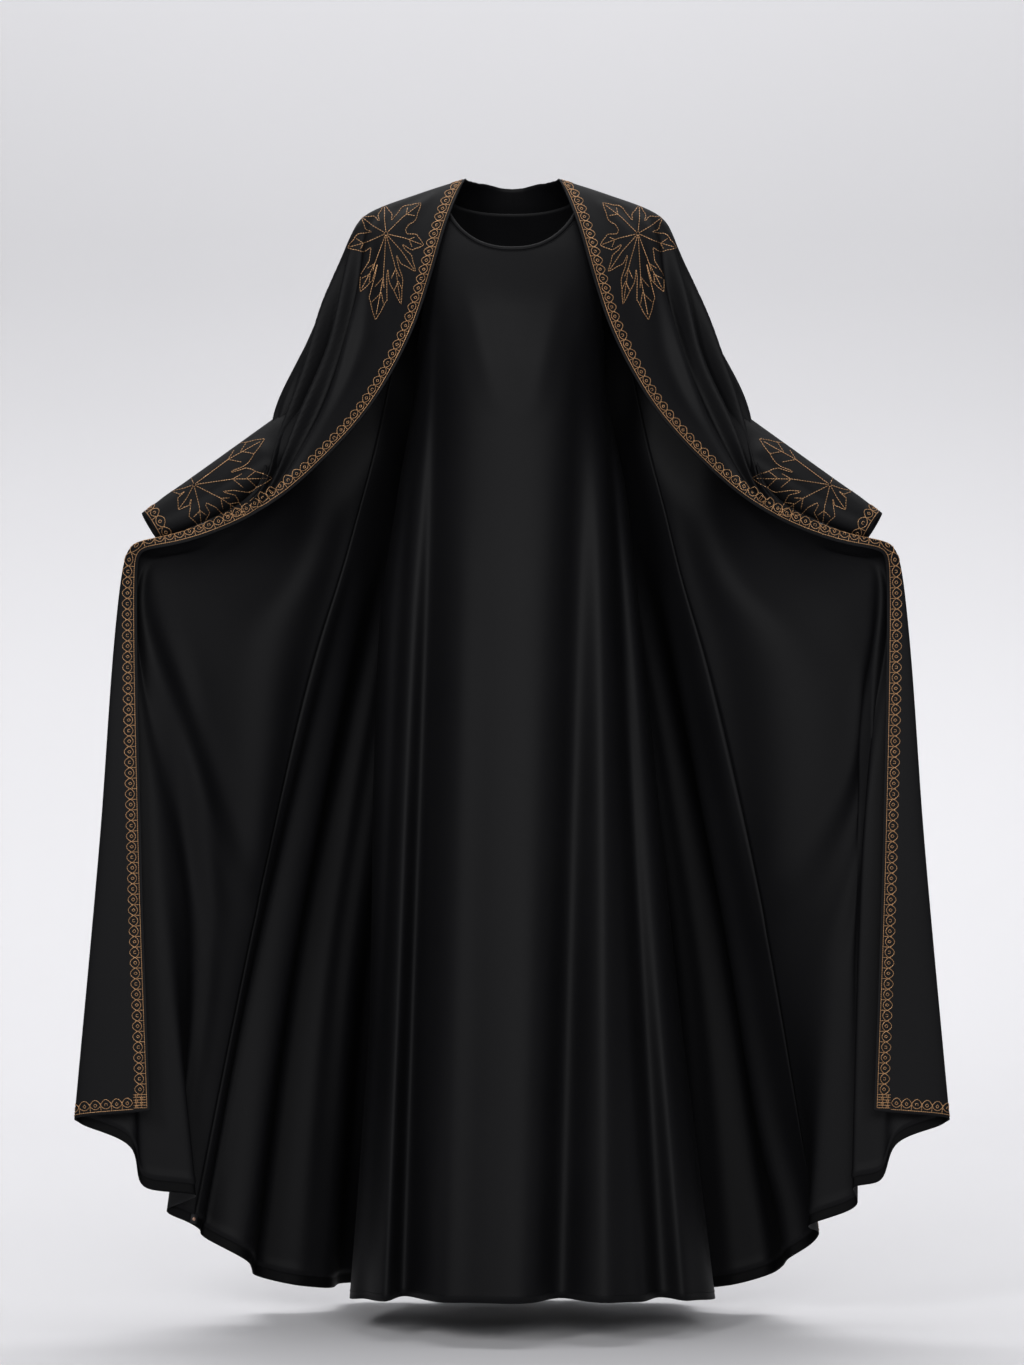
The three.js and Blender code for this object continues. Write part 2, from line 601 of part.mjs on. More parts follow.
addPiece("robe_back", clothBody(robePanel(leftSeam, rightSeam, seamGap / 2)), cloth);
addPiece("hem_border_back", bandOn(robePanel(leftSeam, rightSeam, bandGap), hemRow, hemRow + 1), thread);
addPiece("neck_border_back", bandOn(robePanel(leftSeam, rightSeam, bandGap), 0, 1), thread);

const frontNeck = frontCutter(neckShape(neckline.frontDrop, 0), -300, 0.5);
const backNeck = frontCutter(neckShape(neckline.backDrop, 0), -0.5, 300);
const dressBody = dressTube(0, -clothWall, dressRows)
  .subtract(frontNeck.add(backNeck))
  .subtract(armholeCutter(-1))
  .subtract(armholeCutter(1));
for (const [name, face] of [["front", -1], ["back", 1]]) {
  for (const [level, height] of heights) {
    addPiece(`dress_${name}_${level}`, geometryFrom(shareOf(dressBody, height, face)), dressCloth);
  }
}

const wideNeck = frontCutter(neckShape(neckline.frontDrop, neckBindingWidth), -300, 1)
  .add(frontCutter(neckShape(neckline.backDrop, neckBindingWidth), -1, 300));
const neckBinding = dressTube(seamGap + bandWall, seamGap, dressRows.slice(0, 6))
  .intersect(wideNeck)
  .subtract(frontNeck.add(backNeck));
addPiece("dress_neck_binding", geometryFrom(neckBinding), dressCloth);

export default part;
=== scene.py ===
import math
import bpy
import numpy as np
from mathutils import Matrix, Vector
from mathutils.bvhtree import BVHTree


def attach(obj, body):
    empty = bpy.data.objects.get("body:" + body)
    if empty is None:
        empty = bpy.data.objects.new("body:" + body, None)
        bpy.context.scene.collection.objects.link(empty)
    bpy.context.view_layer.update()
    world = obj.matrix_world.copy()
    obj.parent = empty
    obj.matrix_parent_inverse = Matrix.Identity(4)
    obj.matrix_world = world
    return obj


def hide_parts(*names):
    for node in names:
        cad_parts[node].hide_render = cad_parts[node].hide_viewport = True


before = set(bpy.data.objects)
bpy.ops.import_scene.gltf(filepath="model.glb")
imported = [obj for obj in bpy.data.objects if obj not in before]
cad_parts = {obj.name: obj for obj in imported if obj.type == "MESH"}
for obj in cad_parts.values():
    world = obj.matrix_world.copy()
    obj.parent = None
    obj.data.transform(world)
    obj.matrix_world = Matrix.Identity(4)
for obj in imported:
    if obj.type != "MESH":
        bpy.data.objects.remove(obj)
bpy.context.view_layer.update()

# A two-piece abaya: an open batwing robe over a sleeveless dress, in black satin with bronze
# thread. The tables are in millimetres from the neck, +Z up and -Y to the front.
mm = 0.001

camera = {"place": (0, -7.5, -0.407), "aim": (0, 0, -0.6467), "lens": 152.9, "sensor": 36}
floorLevel = -1.487


# Shaders

class Value:
    # a shader value that adds Math nodes when it is used in an expression
    def __init__(self, shader, link):
        self.shader, self.link = shader, link

    def math(self, operation, *others):
        node = self.shader.add("ShaderNodeMath", {"operation": operation}, [self, *others])
        return Value(self.shader, node.outputs[0])

    def __add__(self, other): return self.math("ADD", other)
    def __sub__(self, other): return self.math("SUBTRACT", other)
    def __mul__(self, other): return self.math("MULTIPLY", other)
    def __truediv__(self, other): return self.math("DIVIDE", other)
    def __rsub__(self, other): return (self * -1) + other
    __radd__ = __add__
    __rmul__ = __mul__


class Shader:
    def __init__(self, name):
        self.material = bpy.data.materials.new(name)
        self.material.use_nodes = True
        self.tree = self.material.node_tree
        self.tree.nodes.clear()
        self.output = self.tree.nodes.new("ShaderNodeOutputMaterial")

    def add(self, kind, settings=None, values=()):
        node = self.tree.nodes.new(kind)
        for key, value in (settings or {}).items():
            setattr(node, key, value)
        pairs = values.items() if isinstance(values, dict) else enumerate(values)
        for key, value in pairs:
            socket = node.inputs[key]
            if isinstance(value, Value):
                self.tree.links.new(value.link, socket)
            else:
                socket.default_value = value
        return node

    def value(self, kind, settings=None, values=(), output=0):
        return Value(self, self.add(kind, settings, values).outputs[output])

    def mix(self, factor, first, second):
        node = self.add("ShaderNodeMix", {"data_type": "RGBA"})
        for key, value in ((0, factor), (6, first), (7, second)):
            if isinstance(value, Value):
                self.tree.links.new(value.link, node.inputs[key])
            else:
                node.inputs[key].default_value = value
        return Value(self, node.outputs[2])

    def surface(self, **values):
        values = {key.replace("_", " "): value for key, value in values.items()}
        node = self.add("ShaderNodeBsdfPrincipled", None, values)
        self.tree.links.new(node.outputs[0], self.output.inputs["Surface"])
        return self.material


# Black satin: a fine twill from the cloth's own lengths, with a little unevenness in the sheen
satin = {
    "dark": (0.0020, 0.0020, 0.0024, 1), "light": (0.0041, 0.0041, 0.0047, 1),
    "rough": 0.56, "roughSpread": 0.06, "specular": 0.08, "twillPitch": 0.0009,
}


def satinMaterial(name, lift=1.0, shine=None):
    s = Shader(name)
    cloth = s.value("ShaderNodeUVMap", {"uv_map": "cloth"})
    place = s.value("ShaderNodeTexCoord", output=3)
    cloudy = s.value("ShaderNodeTexNoise", None, {"Vector": place, "Scale": 7.0, "Detail": 3.0})
    slub = s.value("ShaderNodeTexNoise", None, {"Vector": cloth, "Scale": 220.0, "Detail": 2.0})
    twill = s.value("ShaderNodeTexWave", {"bands_direction": "DIAGONAL"},
                    {"Vector": cloth, "Scale": 0.16 / satin["twillPitch"], "Distortion": 0.6})
    tone = s.mix(cloudy * 0.7 + slub * 0.3, [c * lift for c in satin["dark"][:3]] + [1],
                 [c * lift for c in satin["light"][:3]] + [1])
    rough = satin["rough"] + (cloudy - 0.5) * satin["roughSpread"] + (slub - 0.5) * 0.05
    bump = s.value("ShaderNodeBump", None, {"Strength": 0.12, "Distance": 0.0003,
                                            "Height": twill * 0.7 + slub * 0.3})
    return s.surface(Base_Color=tone, Roughness=rough, Normal=bump,
                     Specular_IOR_Level=satin["specular"] if shine is None else shine)


# Bronze metallic thread
thread = {"dark": (0.11, 0.05, 0.02, 1), "light": (0.60, 0.345, 0.165, 1), "rough": 0.36}


def threadMaterial(name, dark=thread["dark"], light=thread["light"]):
    s = Shader(name)
    place = s.value("ShaderNodeTexCoord", output=3)
    twist = s.value("ShaderNodeTexNoise", None, {"Vector": place, "Scale": 900.0, "Detail": 2.0})
    cloudy = s.value("ShaderNodeTexNoise", None, {"Vector": place, "Scale": 120.0, "Detail": 1.0})
    tone = s.mix(twist * 0.6 + cloudy * 0.4, dark, light)
    rough = thread["rough"] + (twist - 0.5) * 0.2
    bump = s.value("ShaderNodeBump", None, {"Strength": 0.4, "Distance": 0.0003, "Height": twist})
    return s.surface(Base_Color=tone, Roughness=rough, Metallic=0.55, Normal=bump)


# Paper that is a little lighter on the floor than on the wall, to look even under the lamps
def stageMaterial(name, low, high, roughness):
    s = Shader(name)
    place = s.value("ShaderNodeTexCoord", output=3)
    height = s.value("ShaderNodeSeparateXYZ", None, {"Vector": place}, output=2)
    climb = s.value("ShaderNodeMapRange", None, [height, floorLevel, floorLevel + 1.6, 0.0, 1.0])
    cloudy = s.value("ShaderNodeTexNoise", None, {"Vector": place, "Scale": 2.0, "Detail": 1.0})
    tone = s.mix(climb + (cloudy - 0.5) * 0.06, [*low, 1], [*high, 1])
    return s.surface(Base_Color=tone, Roughness=roughness, Specular_IOR_Level=0.2)


# Smooth curve through rising stations that never overshoots them; values are rows by station
def curveThrough(stations, values, at):
    stations = np.asarray(stations, float)
    values = np.asarray(values, float)
    at = np.clip(np.asarray(at, float), stations[0], stations[-1])
    spans = np.diff(stations).reshape(-1, *([1] * (values.ndim - 1)))
    slopes = np.diff(values, axis=0) / spans
    tangents = np.empty_like(values)
    tangents[0], tangents[-1] = slopes[0], slopes[-1]
    before, after = slopes[:-1], slopes[1:]
    total = np.where(before + after == 0, 1, before + after)
    tangents[1:-1] = np.where(before * after <= 0, 0, 2 * before * after / total)
    k = np.clip(np.searchsorted(stations, at, side="left") - 1, 0, len(stations) - 2)
    t = ((at - stations[k]) / np.diff(stations)[k]).reshape(-1, *([1] * (values.ndim - 1)))
    rise = t * t * (3 - 2 * t)
    return (values[k] * (1 - rise) + values[k + 1] * rise
            + spans[k] * (t * (1 - t) ** 2 * tangents[k] - t * t * (1 - t) * tangents[k + 1]))


def gridNormals(points, tube=False):
    if tube:
        across = np.roll(points, -1, axis=0) - np.roll(points, 1, axis=0)
    else:
        across = np.gradient(points, axis=0)
    normals = np.cross(across, np.gradient(points, axis=1))
    return normals / np.linalg.norm(normals, axis=2, keepdims=True)


# Evens out a grid of points along one axis, leaving the two ends where they are
def softened(points, axis, passes):
    points = points.copy()
    for _ in range(passes):
        ahead = np.roll(points, -1, axis=axis)
        behind = np.roll(points, 1, axis=axis)
        new = (ahead + behind + 2 * points) / 4
        ends = [slice(None)] * 3
        for end in (0, -1):
            ends[axis] = end
            new[tuple(ends)] = points[tuple(ends)]
        points = new
    return points


def meshObject(name, points, faces, materials, uvs=None, materialIndex=None):
    mesh = bpy.data.meshes.new(name)
    mesh.from_pydata([tuple(p) for p in points], [], faces)
    if uvs is not None:
        layer = mesh.uv_layers.new(name="cloth")
        index = np.empty(len(mesh.loops), int)
        mesh.loops.foreach_get("vertex_index", index)
        layer.data.foreach_set("uv", np.asarray(uvs, float)[index].ravel())
    mesh.polygons.foreach_set("use_smooth", [True] * len(mesh.polygons))
    for material in materials:
        mesh.materials.append(material)
    if materialIndex is not None:
        mesh.polygons.foreach_set("material_index", materialIndex)
    made = bpy.data.objects.new(name, mesh)
    bpy.context.scene.collection.objects.link(made)
    return made


def placed(piece, slot, *nodes):
    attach(piece, "root")
    if nodes:
        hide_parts(*nodes)
    return piece


# Lengths along the cloth, for the weave
def clothLengths(points):
    down = np.linalg.norm(np.diff(points, axis=1), axis=2)
    across = np.linalg.norm(np.diff(points, axis=0), axis=2)
    v = np.concatenate([np.zeros((len(points), 1)), np.cumsum(down, axis=1)], axis=1)
    u = np.concatenate([np.zeros((1, points.shape[1])), np.cumsum(across, axis=0)], axis=0)
    return np.stack([u, v], axis=2)


# Corner indices of a grid's cells, each going round the outside face
def cellsOf(columns, rows, tube=False):
    index = np.arange(columns * rows).reshape(columns, rows)
    if tube:
        index = np.concatenate([index, index[:1]])
    return np.stack([index[:-1, :-1], index[1:, :-1], index[1:, 1:], index[:-1, 1:]], axis=2)


# A thin shell of cloth under a grid of points on its outside. wall is its thickness, one
# value or one a point; keep chooses cells; the last argument counts the end rows whose inside faces take
# the second material, a darker satin that paints shade there
def clothShell(name, points, normals, wall, materials, tube=False, keep=None, paintedShadeRows=0):
    columns, rows = points.shape[:2]
    wall = np.broadcast_to(np.asarray(wall, float) * mm, (columns, rows))
    inner = points - normals * wall[:, :, None]
    cells = cellsOf(columns, rows, tube)
    rowOf = np.broadcast_to(np.arange(rows - 1), cells.shape[:2])
    chosen = np.ones(cells.shape[:2], bool) if keep is None else keep
    outside, rowOf = cells[chosen], rowOf[chosen]
    shift = columns * rows
    inside = outside[:, ::-1] + shift
    a = outside.ravel()
    b = np.roll(outside, -1, axis=1).ravel()
    lone = ~np.isin(a * shift + b, b * shift + a)
    a, b = a[lone], b[lone]
    rims = np.stack([b, a, a + shift, b + shift], axis=1)
    faces = np.concatenate([outside, inside, rims])
    second = np.zeros(len(faces), int)
    if paintedShadeRows:
        second[len(outside):2 * len(outside)] = rowOf >= rows - 1 - paintedShadeRows
    both = np.concatenate([points.reshape(-1, 3), inner.reshape(-1, 3)])
    uv = clothLengths(points).reshape(-1, 2)
    return meshObject(name, both, faces.tolist(), materials, np.concatenate([uv, uv]), second)


# Area of a grid of cloth, in square metres
def clothArea(points):
    a = points[1:, :-1] - points[:-1, :-1]
    b = points[:-1, 1:] - points[:-1, :-1]
    return float(np.linalg.norm(np.cross(a, b), axis=2).sum())


# Threads

# Joined thread tubes along lines, thick and thin by turns like a row of stitches
def threadTubes(name, lines, radius, material, sides=4, bead=0.4):
    allPoints, allFaces, start = [], [], 0
    turns = 2 * math.pi * np.arange(sides) / sides
    for line in lines:
        line = np.asarray(line, float)
        count = len(line)
        if count < 2:
            continue
        way = np.gradient(line, axis=0)
        way /= np.maximum(np.linalg.norm(way, axis=1, keepdims=True), 1e-9)
        helper = np.where(np.abs(way[:, 1:2]) < 0.9, [[0, 1, 0]], [[1, 0, 0]])
        side = np.cross(way, helper)
        side /= np.linalg.norm(side, axis=1, keepdims=True)
        up = np.cross(side, way)
        swell = radius * mm * (1 + bead * np.where(np.arange(count) % 2 == 0, 1, -1))
        around = np.cos(turns)[None, :, None] * side[:, None] + np.sin(turns)[None, :, None] * up[:, None]
        ring = line[:, None] + swell[:, None, None] * around
        allPoints.append(ring.reshape(-1, 3))
        row = np.arange(count - 1)[:, None] * sides
        k = np.arange(sides)[None, :]
        after = (k + 1) % sides
        quads = np.stack([row + k, row + sides + k, row + sides + after, row + after], axis=2)
        allFaces += (quads.reshape(-1, 4) + start).tolist()
        allFaces.append([start + i for i in range(sides)])
        allFaces.append([start + (count - 1) * sides + i for i in range(sides)][::-1])
        start += count * sides
    return meshObject(name, np.concatenate(allPoints), allFaces, [material])


def resampled(line, step):
    line = np.asarray(line, float)
    along = np.concatenate([[0], np.cumsum(np.linalg.norm(np.diff(line, axis=0), axis=1))])
    count = max(int(round(along[-1] / step)), 1) + 1
    at = np.linspace(0, along[-1], count)
    return np.stack([np.interp(at, along, line[:, k]) for k in range(line.shape[1])], axis=1)


def surfaceOf(points, tube=False):
    cells = cellsOf(points.shape[0], points.shape[1], tube).reshape(-1, 4).tolist()
    return BVHTree.FromPolygons([tuple(p) for p in points.reshape(-1, 3)], cells)


# An edge of a grid of cloth, with the way into the cloth at each of its points
class ClothEdge:
    def __init__(self, edge, inside, surface):
        self.surface = surface
        self.along = np.concatenate([[0], np.cumsum(np.linalg.norm(np.diff(edge, axis=0), axis=1))]) / mm
        self.length = self.along[-1]
        self.edge = edge
        way = np.gradient(edge, axis=0)
        way /= np.linalg.norm(way, axis=1, keepdims=True)
        into = inside - edge
        into -= (into * way).sum(axis=1, keepdims=True) * way
        self.into = into / np.linalg.norm(into, axis=1, keepdims=True)

    # Points at s along the edge and t into the cloth, in millimetres, lifted off its outside
    def line(self, st, lift=0.35):
        s, t = np.asarray(st, float).T
        base = np.stack([np.interp(s, self.along, self.edge[:, k]) for k in range(3)], axis=1)
        into = np.stack([np.interp(s, self.along, self.into[:, k]) for k in range(3)], axis=1)
        into /= np.linalg.norm(into, axis=1, keepdims=True)
        placedAt = []
        for p in base + into * t[:, None] * mm:
            spot, normal, _, _ = self.surface.find_nearest(Vector(p))
            placedAt.append(spot + normal * (lift * mm))
        return np.array([tuple(p) for p in placedAt])


robeGuides = {
    0: [
        [0, 64, -12, 0], [0.033, 83, -50, -51], [0.087, 104, -88, -126],
        [0.132, 124, -104, -187], [0.207, 175, -112, -283], [0.272, 238, -106, -356],
        [0.345, 318, -96, -422], [0.405, 394, -87, -457], [0.44, 437, -84, -469],
        [0.475, 479, -74, -477], [0.52, 481, -68, -540], [0.755, 475, -76, -869],
        [1, 464, -84, -1194]],
    0.16: [
        [0, 60, 2, 4], [0.045, 120, 0, -15], [0.1, 197, 0, -48], [0.15, 223, 0, -107],
        [0.23, 268, -5, -210], [0.29, 307, -12, -296], [0.345, 321, -80, -384],
        [0.405, 397, -77, -442], [0.44, 443, -80, -457], [0.475, 490, -66, -467],
        [0.52, 504, -62, -527], [0.755, 530, -66, -850], [1, 563, -72, -1206]],
    0.22: [
        [0, 58, 14, 3], [0.045, 116, 22, -18], [0.1, 190, 34, -55], [0.15, 215, 40, -112],
        [0.23, 261, 42, -215], [0.29, 301, 36, -305], [0.345, 324, -54, -403],
        [0.405, 396, -54, -450], [0.44, 440, -56, -473], [0.475, 485, -50, -474],
        [0.52, 498, -48, -532], [0.755, 525, -48, -858], [1, 555, -46, -1216]],
    0.27: [
        [0, 55, 22, 2], [0.1, 182, 54, -64], [0.2, 232, 66, -185], [0.29, 295, 50, -318],
        [0.345, 322, -36, -414], [0.405, 390, -38, -462], [0.44, 434, -38, -480],
        [0.475, 478, -34, -484], [0.52, 490, -37, -542], [0.755, 496, -43, -878],
        [1, 483, -50, -1251]],
    0.29: [
        [0, 53, 25, 2], [0.1, 179, 59, -67], [0.2, 230, 71, -190], [0.29, 291, 54, -323],
        [0.345, 319, -29, -417], [0.405, 386, -31, -468], [0.475, 474, -31, -491],
        [0.52, 487, -34, -549], [0.755, 487, -38, -900], [1, 485, -34, -1300]],
    0.33: [
        [0, 50, 30, 1], [0.1, 172, 70, -72], [0.2, 225, 82, -200], [0.29, 285, 62, -332],
        [0.345, 312, -14, -424], [0.405, 378, -18, -480], [0.475, 466, -26, -504],
        [0.52, 478, -31, -562], [0.6, 468, -36, -690], [0.755, 449, -36, -925],
        [1, 404, -30, -1308]],
    0.365: [
        [0, 47, 35, 1], [0.1, 161, 79, -78], [0.2, 211, 87, -212], [0.29, 263, 67, -340],
        [0.345, 287, 12, -430], [0.405, 339, 3, -496], [0.475, 415, -8, -547],
        [0.52, 429, -12, -604], [0.6, 428, -16, -723], [0.755, 424, -11, -945],
        [1, 430, 2, -1323]],
    0.4: [
        [0, 44, 40, 0], [0.1, 150, 88, -85], [0.2, 195, 92, -225], [0.29, 240, 72, -348],
        [0.345, 262, 38, -435], [0.405, 300, 24, -512], [0.475, 365, 10, -590],
        [0.52, 380, 6, -645], [0.6, 388, 4, -755], [0.755, 398, 14, -965], [1, 452, 30, -1336]],
    0.46: [
        [0, 38, 48, 0], [0.1, 125, 102, -100], [0.2, 160, 106, -250], [0.29, 180, 80, -346],
        [0.345, 200, 68, -421], [0.42, 225, 58, -515], [0.485, 255, 52, -615],
        [0.6, 295, 46, -776], [0.75, 343, 38, -985], [1, 418, 34, -1354]],
    0.66: [
        [0, 26, 58, -2], [0.1, 85, 116, -118], [0.2, 110, 124, -275], [0.29, 125, 130, -395],
        [0.42, 165, 138, -578], [0.6, 215, 156, -835], [0.75, 250, 168, -1048],
        [1, 292, 160, -1451]],
    0.83: [
        [0, 13, 65, -5], [0.1, 42, 124, -140], [0.2, 55, 136, -285], [0.29, 65, 144, -415],
        [0.42, 85, 160, -600], [0.6, 110, 190, -858], [0.75, 130, 218, -1070],
        [1, 155, 258, -1464]],
    1: [
        [0, 0, 67, -6], [0.1, 0, 126, -146], [0.2, 0, 140, -290], [0.29, 0, 150, -418],
        [0.42, 0, 170, -604], [0.6, 0, 205, -862], [0.75, 0, 238, -1074], [1, 0, 285, -1467]],
}
# The right half hangs in folds of its own
rightRows = {
    0.27: [
        [0, 55, 22, 2], [0.1, 182, 54, -64], [0.2, 232, 66, -185], [0.29, 295, 50, -318],
        [0.345, 322, -36, -414], [0.405, 390, -38, -462], [0.44, 434, -38, -480],
        [0.475, 478, -34, -484], [0.52, 490, -37, -542], [0.755, 496, -43, -878],
        [1, 487, -52, -1244]],
    0.29: [
        [0, 53, 25, 2], [0.1, 179, 59, -67], [0.2, 230, 71, -190], [0.29, 291, 54, -323],
        [0.345, 319, -29, -417], [0.405, 386, -31, -468], [0.475, 474, -31, -491],
        [0.52, 487, -34, -549], [0.755, 486, -39, -898], [1, 482, -42, -1290]],
    0.33: [
        [0, 50, 30, 1], [0.1, 172, 70, -72], [0.2, 225, 82, -200], [0.29, 285, 62, -332],
        [0.345, 312, -14, -424], [0.405, 378, -18, -480], [0.475, 466, -26, -504],
        [0.52, 474, -31, -562], [0.6, 462, -36, -690], [0.755, 448, -40, -920],
        [1, 437, -42, -1297]],
    0.365: [
        [0, 47, 35, 1], [0.1, 161, 79, -78], [0.2, 211, 87, -212], [0.29, 263, 67, -340],
        [0.345, 287, 12, -430], [0.405, 339, 3, -496], [0.475, 430, -8, -545],
        [0.52, 452, -14, -602], [0.6, 458, -18, -722], [0.755, 450, -18, -944],
        [1, 452, -20, -1324]],
    0.4: [
        [0, 44, 40, 0], [0.1, 150, 88, -85], [0.2, 195, 92, -225], [0.29, 240, 72, -348],
        [0.345, 262, 38, -435], [0.405, 300, 24, -512], [0.475, 382, 6, -590],
        [0.52, 414, 0, -642], [0.6, 434, -6, -752], [0.755, 422, -12, -963],
        [1, 382, -10, -1350]],
    0.46: [
        [0, 38, 48, 0], [0.1, 125, 102, -100], [0.2, 160, 106, -250], [0.29, 180, 80, -346],
        [0.345, 200, 68, -421], [0.42, 222, 58, -515], [0.485, 250, 52, -615],
        [0.6, 288, 46, -776], [0.75, 335, 40, -985], [1, 402, 36, -1366]],
}
# Folds: length it starts at, share there, share at the hem, width, depth out, length it fades at
leftFolds = [
    [0.1, 0.1, 0.13, 0.022, -12, 0.36], [0.1, 0.055, 0.06, 0.02, -7, 0.34],
    [0.4, 0.49, 0.505, 0.02, 26, 2], [0.4, 0.54, 0.56, 0.025, -20, 2],
    [0.35, 0.6, 0.62, 0.03, 30, 2], [0.35, 0.7, 0.7, 0.03, -22, 2],
    [0.2, 0.79, 0.78, 0.03, 24, 2], [0.25, 0.88, 0.87, 0.03, -24, 2],
    [0.2, 0.96, 0.96, 0.028, 22, 2],
]
rightFolds = [
    [0.1, 0.095, 0.12, 0.02, -11, 0.36], [0.12, 0.05, 0.055, 0.018, -6, 0.34],
    [0.4, 0.53, 0.545, 0.025, -18, 2], [0.35, 0.59, 0.605, 0.028, 26, 2],
    [0.35, 0.68, 0.69, 0.03, -24, 2], [0.22, 0.77, 0.77, 0.03, 22, 2],
    [0.25, 0.86, 0.86, 0.03, -20, 2],
]


# Creases: length they start and end at, share at the start and the end, width, depth out.
# Those that end past 1 run out at the hem
leftCreases = [
    [0.07, 0.36, 0.118, 0.014, 0.011, 9], [0.10, 0.36, 0.136, 0.040, 0.010, 11],
    [0.13, 0.37, 0.148, 0.070, 0.010, 10], [0.17, 0.37, 0.150, 0.100, 0.009, 8],
    [0.08, 0.36, 0.126, 0.027, 0.009, -8], [0.12, 0.36, 0.142, 0.055, 0.009, -8],
    [0.03, 0.18, 0.105, 0.045, 0.014, 3], [0.21, 0.35, 0.150, 0.132, 0.007, 8],
    [0.47, 0.78, 0.285, 0.40, 0.016, 5], [0.46, 0.72, 0.30, 0.435, 0.014, -5],
    [0.50, 0.96, 0.35, 0.405, 0.014, 5], [0.33, 0.72, 0.42, 0.445, 0.012, -6],
    [0.42, 1.05, 0.560, 0.570, 0.018, 5],
    [0.30, 1.05, 0.650, 0.660, 0.018, -6], [0.25, 1.05, 0.742, 0.746, 0.016, 7],
    [0.33, 1.05, 0.824, 0.812, 0.016, -8], [0.22, 1.05, 0.905, 0.915, 0.016, 7],
]
rightCreases = [
    [0.07, 0.36, 0.112, 0.020, 0.011, 9], [0.11, 0.36, 0.132, 0.048, 0.010, 11],
    [0.14, 0.37, 0.146, 0.080, 0.010, 10], [0.18, 0.37, 0.150, 0.110, 0.009, 8],
    [0.09, 0.36, 0.122, 0.034, 0.009, -8], [0.13, 0.36, 0.140, 0.064, 0.009, -8],
    [0.04, 0.19, 0.095, 0.04, 0.013, 3], [0.22, 0.35, 0.152, 0.138, 0.006, 7],
    [0.47, 0.80, 0.280, 0.385, 0.015, 5], [0.46, 0.74, 0.30, 0.43, 0.014, -5],
    [0.50, 0.95, 0.34, 0.35, 0.010, 5], [0.34, 0.74, 0.415, 0.44, 0.012, -6],
    [0.40, 1.05, 0.555, 0.562, 0.018, 5],
    [0.31, 1.05, 0.640, 0.650, 0.018, -6], [0.26, 1.05, 0.728, 0.735, 0.016, 7],
    [0.30, 1.05, 0.808, 0.800, 0.016, -8], [0.24, 1.05, 0.892, 0.905, 0.016, 7],
]


# How far the folds and creases push the cloth out, at each share and length
def pushOut(shares, lengths, folds, creases):
    push = np.zeros((len(shares), len(lengths)))
    for start, first, last, width, depth, fade in folds:
        along = np.clip((lengths - start) / (1 - start), 0, 1)
        centre = first + (last - first) * along
        if fade > 1:
            strength = along ** 0.8
        else:
            strength = np.minimum(along * 8, 1) * np.clip((fade - lengths) / 0.08, 0, 1)
        push += depth * strength * np.exp(-((shares[:, None] - centre) / width) ** 2)
    for start, end, first, last, width, depth in creases:
        along = np.clip((lengths - start) / (end - start), 0, 1)
        reach = 0.5 if end > 1 else 1
        strength = np.abs(np.sin(math.pi * reach * along)) ** 0.8
        u = (shares[:, None] - first - (last - first) * along) / width
        push += depth * strength * (np.exp(-u * u) - 0.75 * np.exp(-((u - 1.9) ** 2)))
    return push


def robeHalf(guides, folds, creases, shares, lengths):
    across = []
    for rows in guides.values():
        rows = np.array(rows, float)
        across.append(curveThrough(rows[:, 0], rows[:, 1:], lengths))
    points = curveThrough(list(guides), np.array(across), shares)
    points[:, :, 0] *= -1
    points = softened(points, 0, 14)
    points = softened(points, 1, 8)
    push = pushOut(shares, lengths, folds, creases)
    return points + gridNormals(points) * push[:, :, None]


# The walls and the stitches are in millimetres; the side seam's stitches start at seamRow
robe = {"wall": 0.8, "lining": 1.9, "liningEdge": 0.9, "rows": 226, "seamColumn": 138, "seamRow": 60,
        "seamStitch": 2.5, "seamRadius": 0.3}
robeShares = np.concatenate([np.linspace(0, 0.16, 56)[:-1], np.linspace(0.16, 0.46, 84)[:-1],
                             np.linspace(0.46, 1, 90)])
seamColumn = robe["seamColumn"]
robeLengths = np.concatenate([np.linspace(0, 0.38, 111)[:-1], np.linspace(0.38, 0.92, 96)[:-1],
                              np.linspace(0.92, 0.986, 13)[:-1],
                              np.linspace(0.986, 1, robe["rows"] - 217)])
rightGuides = {share: rightRows.get(share, rows) for share, rows in robeGuides.items()}
leftHalf = robeHalf(robeGuides, leftFolds, leftCreases, robeShares, robeLengths)
rightHalf = robeHalf(rightGuides, rightFolds, rightCreases, robeShares, robeLengths) * [-1, 1, 1]
leftHalf[-1, :, 0] = 0
robeGrid = np.concatenate([leftHalf, rightHalf[::-1][1:]]) * mm
robeNormal = gridNormals(robeGrid)
lastColumn = len(robeGrid) - 1

satinCloth = satinMaterial("robe satin")
# Painted shade: a darker satin with less sheen for the inside of the robe just above the hem, standing in
# for the shade there
paintedShadeCloth = satinMaterial("robe satin painted with the shade inside the hem", 0.45, 0.05)
dressSatin = satinMaterial("dress satin", 0.95)
bronzeThread = threadMaterial("bronze thread")
darkThread = satinMaterial("dark thread", 0.6, 0.1)

# The robe's cloth is thin at the hem and thicker above it, where the lining ends in a soft edge
lining = np.full(robe["rows"], robe["lining"])
lining[-6:] = robe["wall"]
lining[-8:-6] = robe["lining"] + robe["liningEdge"]
robeParts = {
    "left": (0, seamColumn), "back": (seamColumn, lastColumn - seamColumn),
    "right": (lastColumn - seamColumn, lastColumn),
}
robePanels, robeSurfaces = {}, {}
for name, (first, last) in robeParts.items():
    part = slice(first, last + 1)
    nodes = ["robe_back"] if name == "back" else [f"robe_{name}_upper", f"robe_{name}_lower"]
    # the inside faces of the last five rows take the darker satin that paints the shade above the hem
    shell = clothShell(f"robe_{name}_cloth", robeGrid[part], robeNormal[part], lining,
                       [satinCloth, paintedShadeCloth], paintedShadeRows=5)
    robePanels[name] = placed(shell, "robe_cloth", *nodes)
    robeSurfaces[name] = surfaceOf(robeGrid[part])
    print("robe panel", name, "area", round(clothArea(robeGrid[part]), 3))

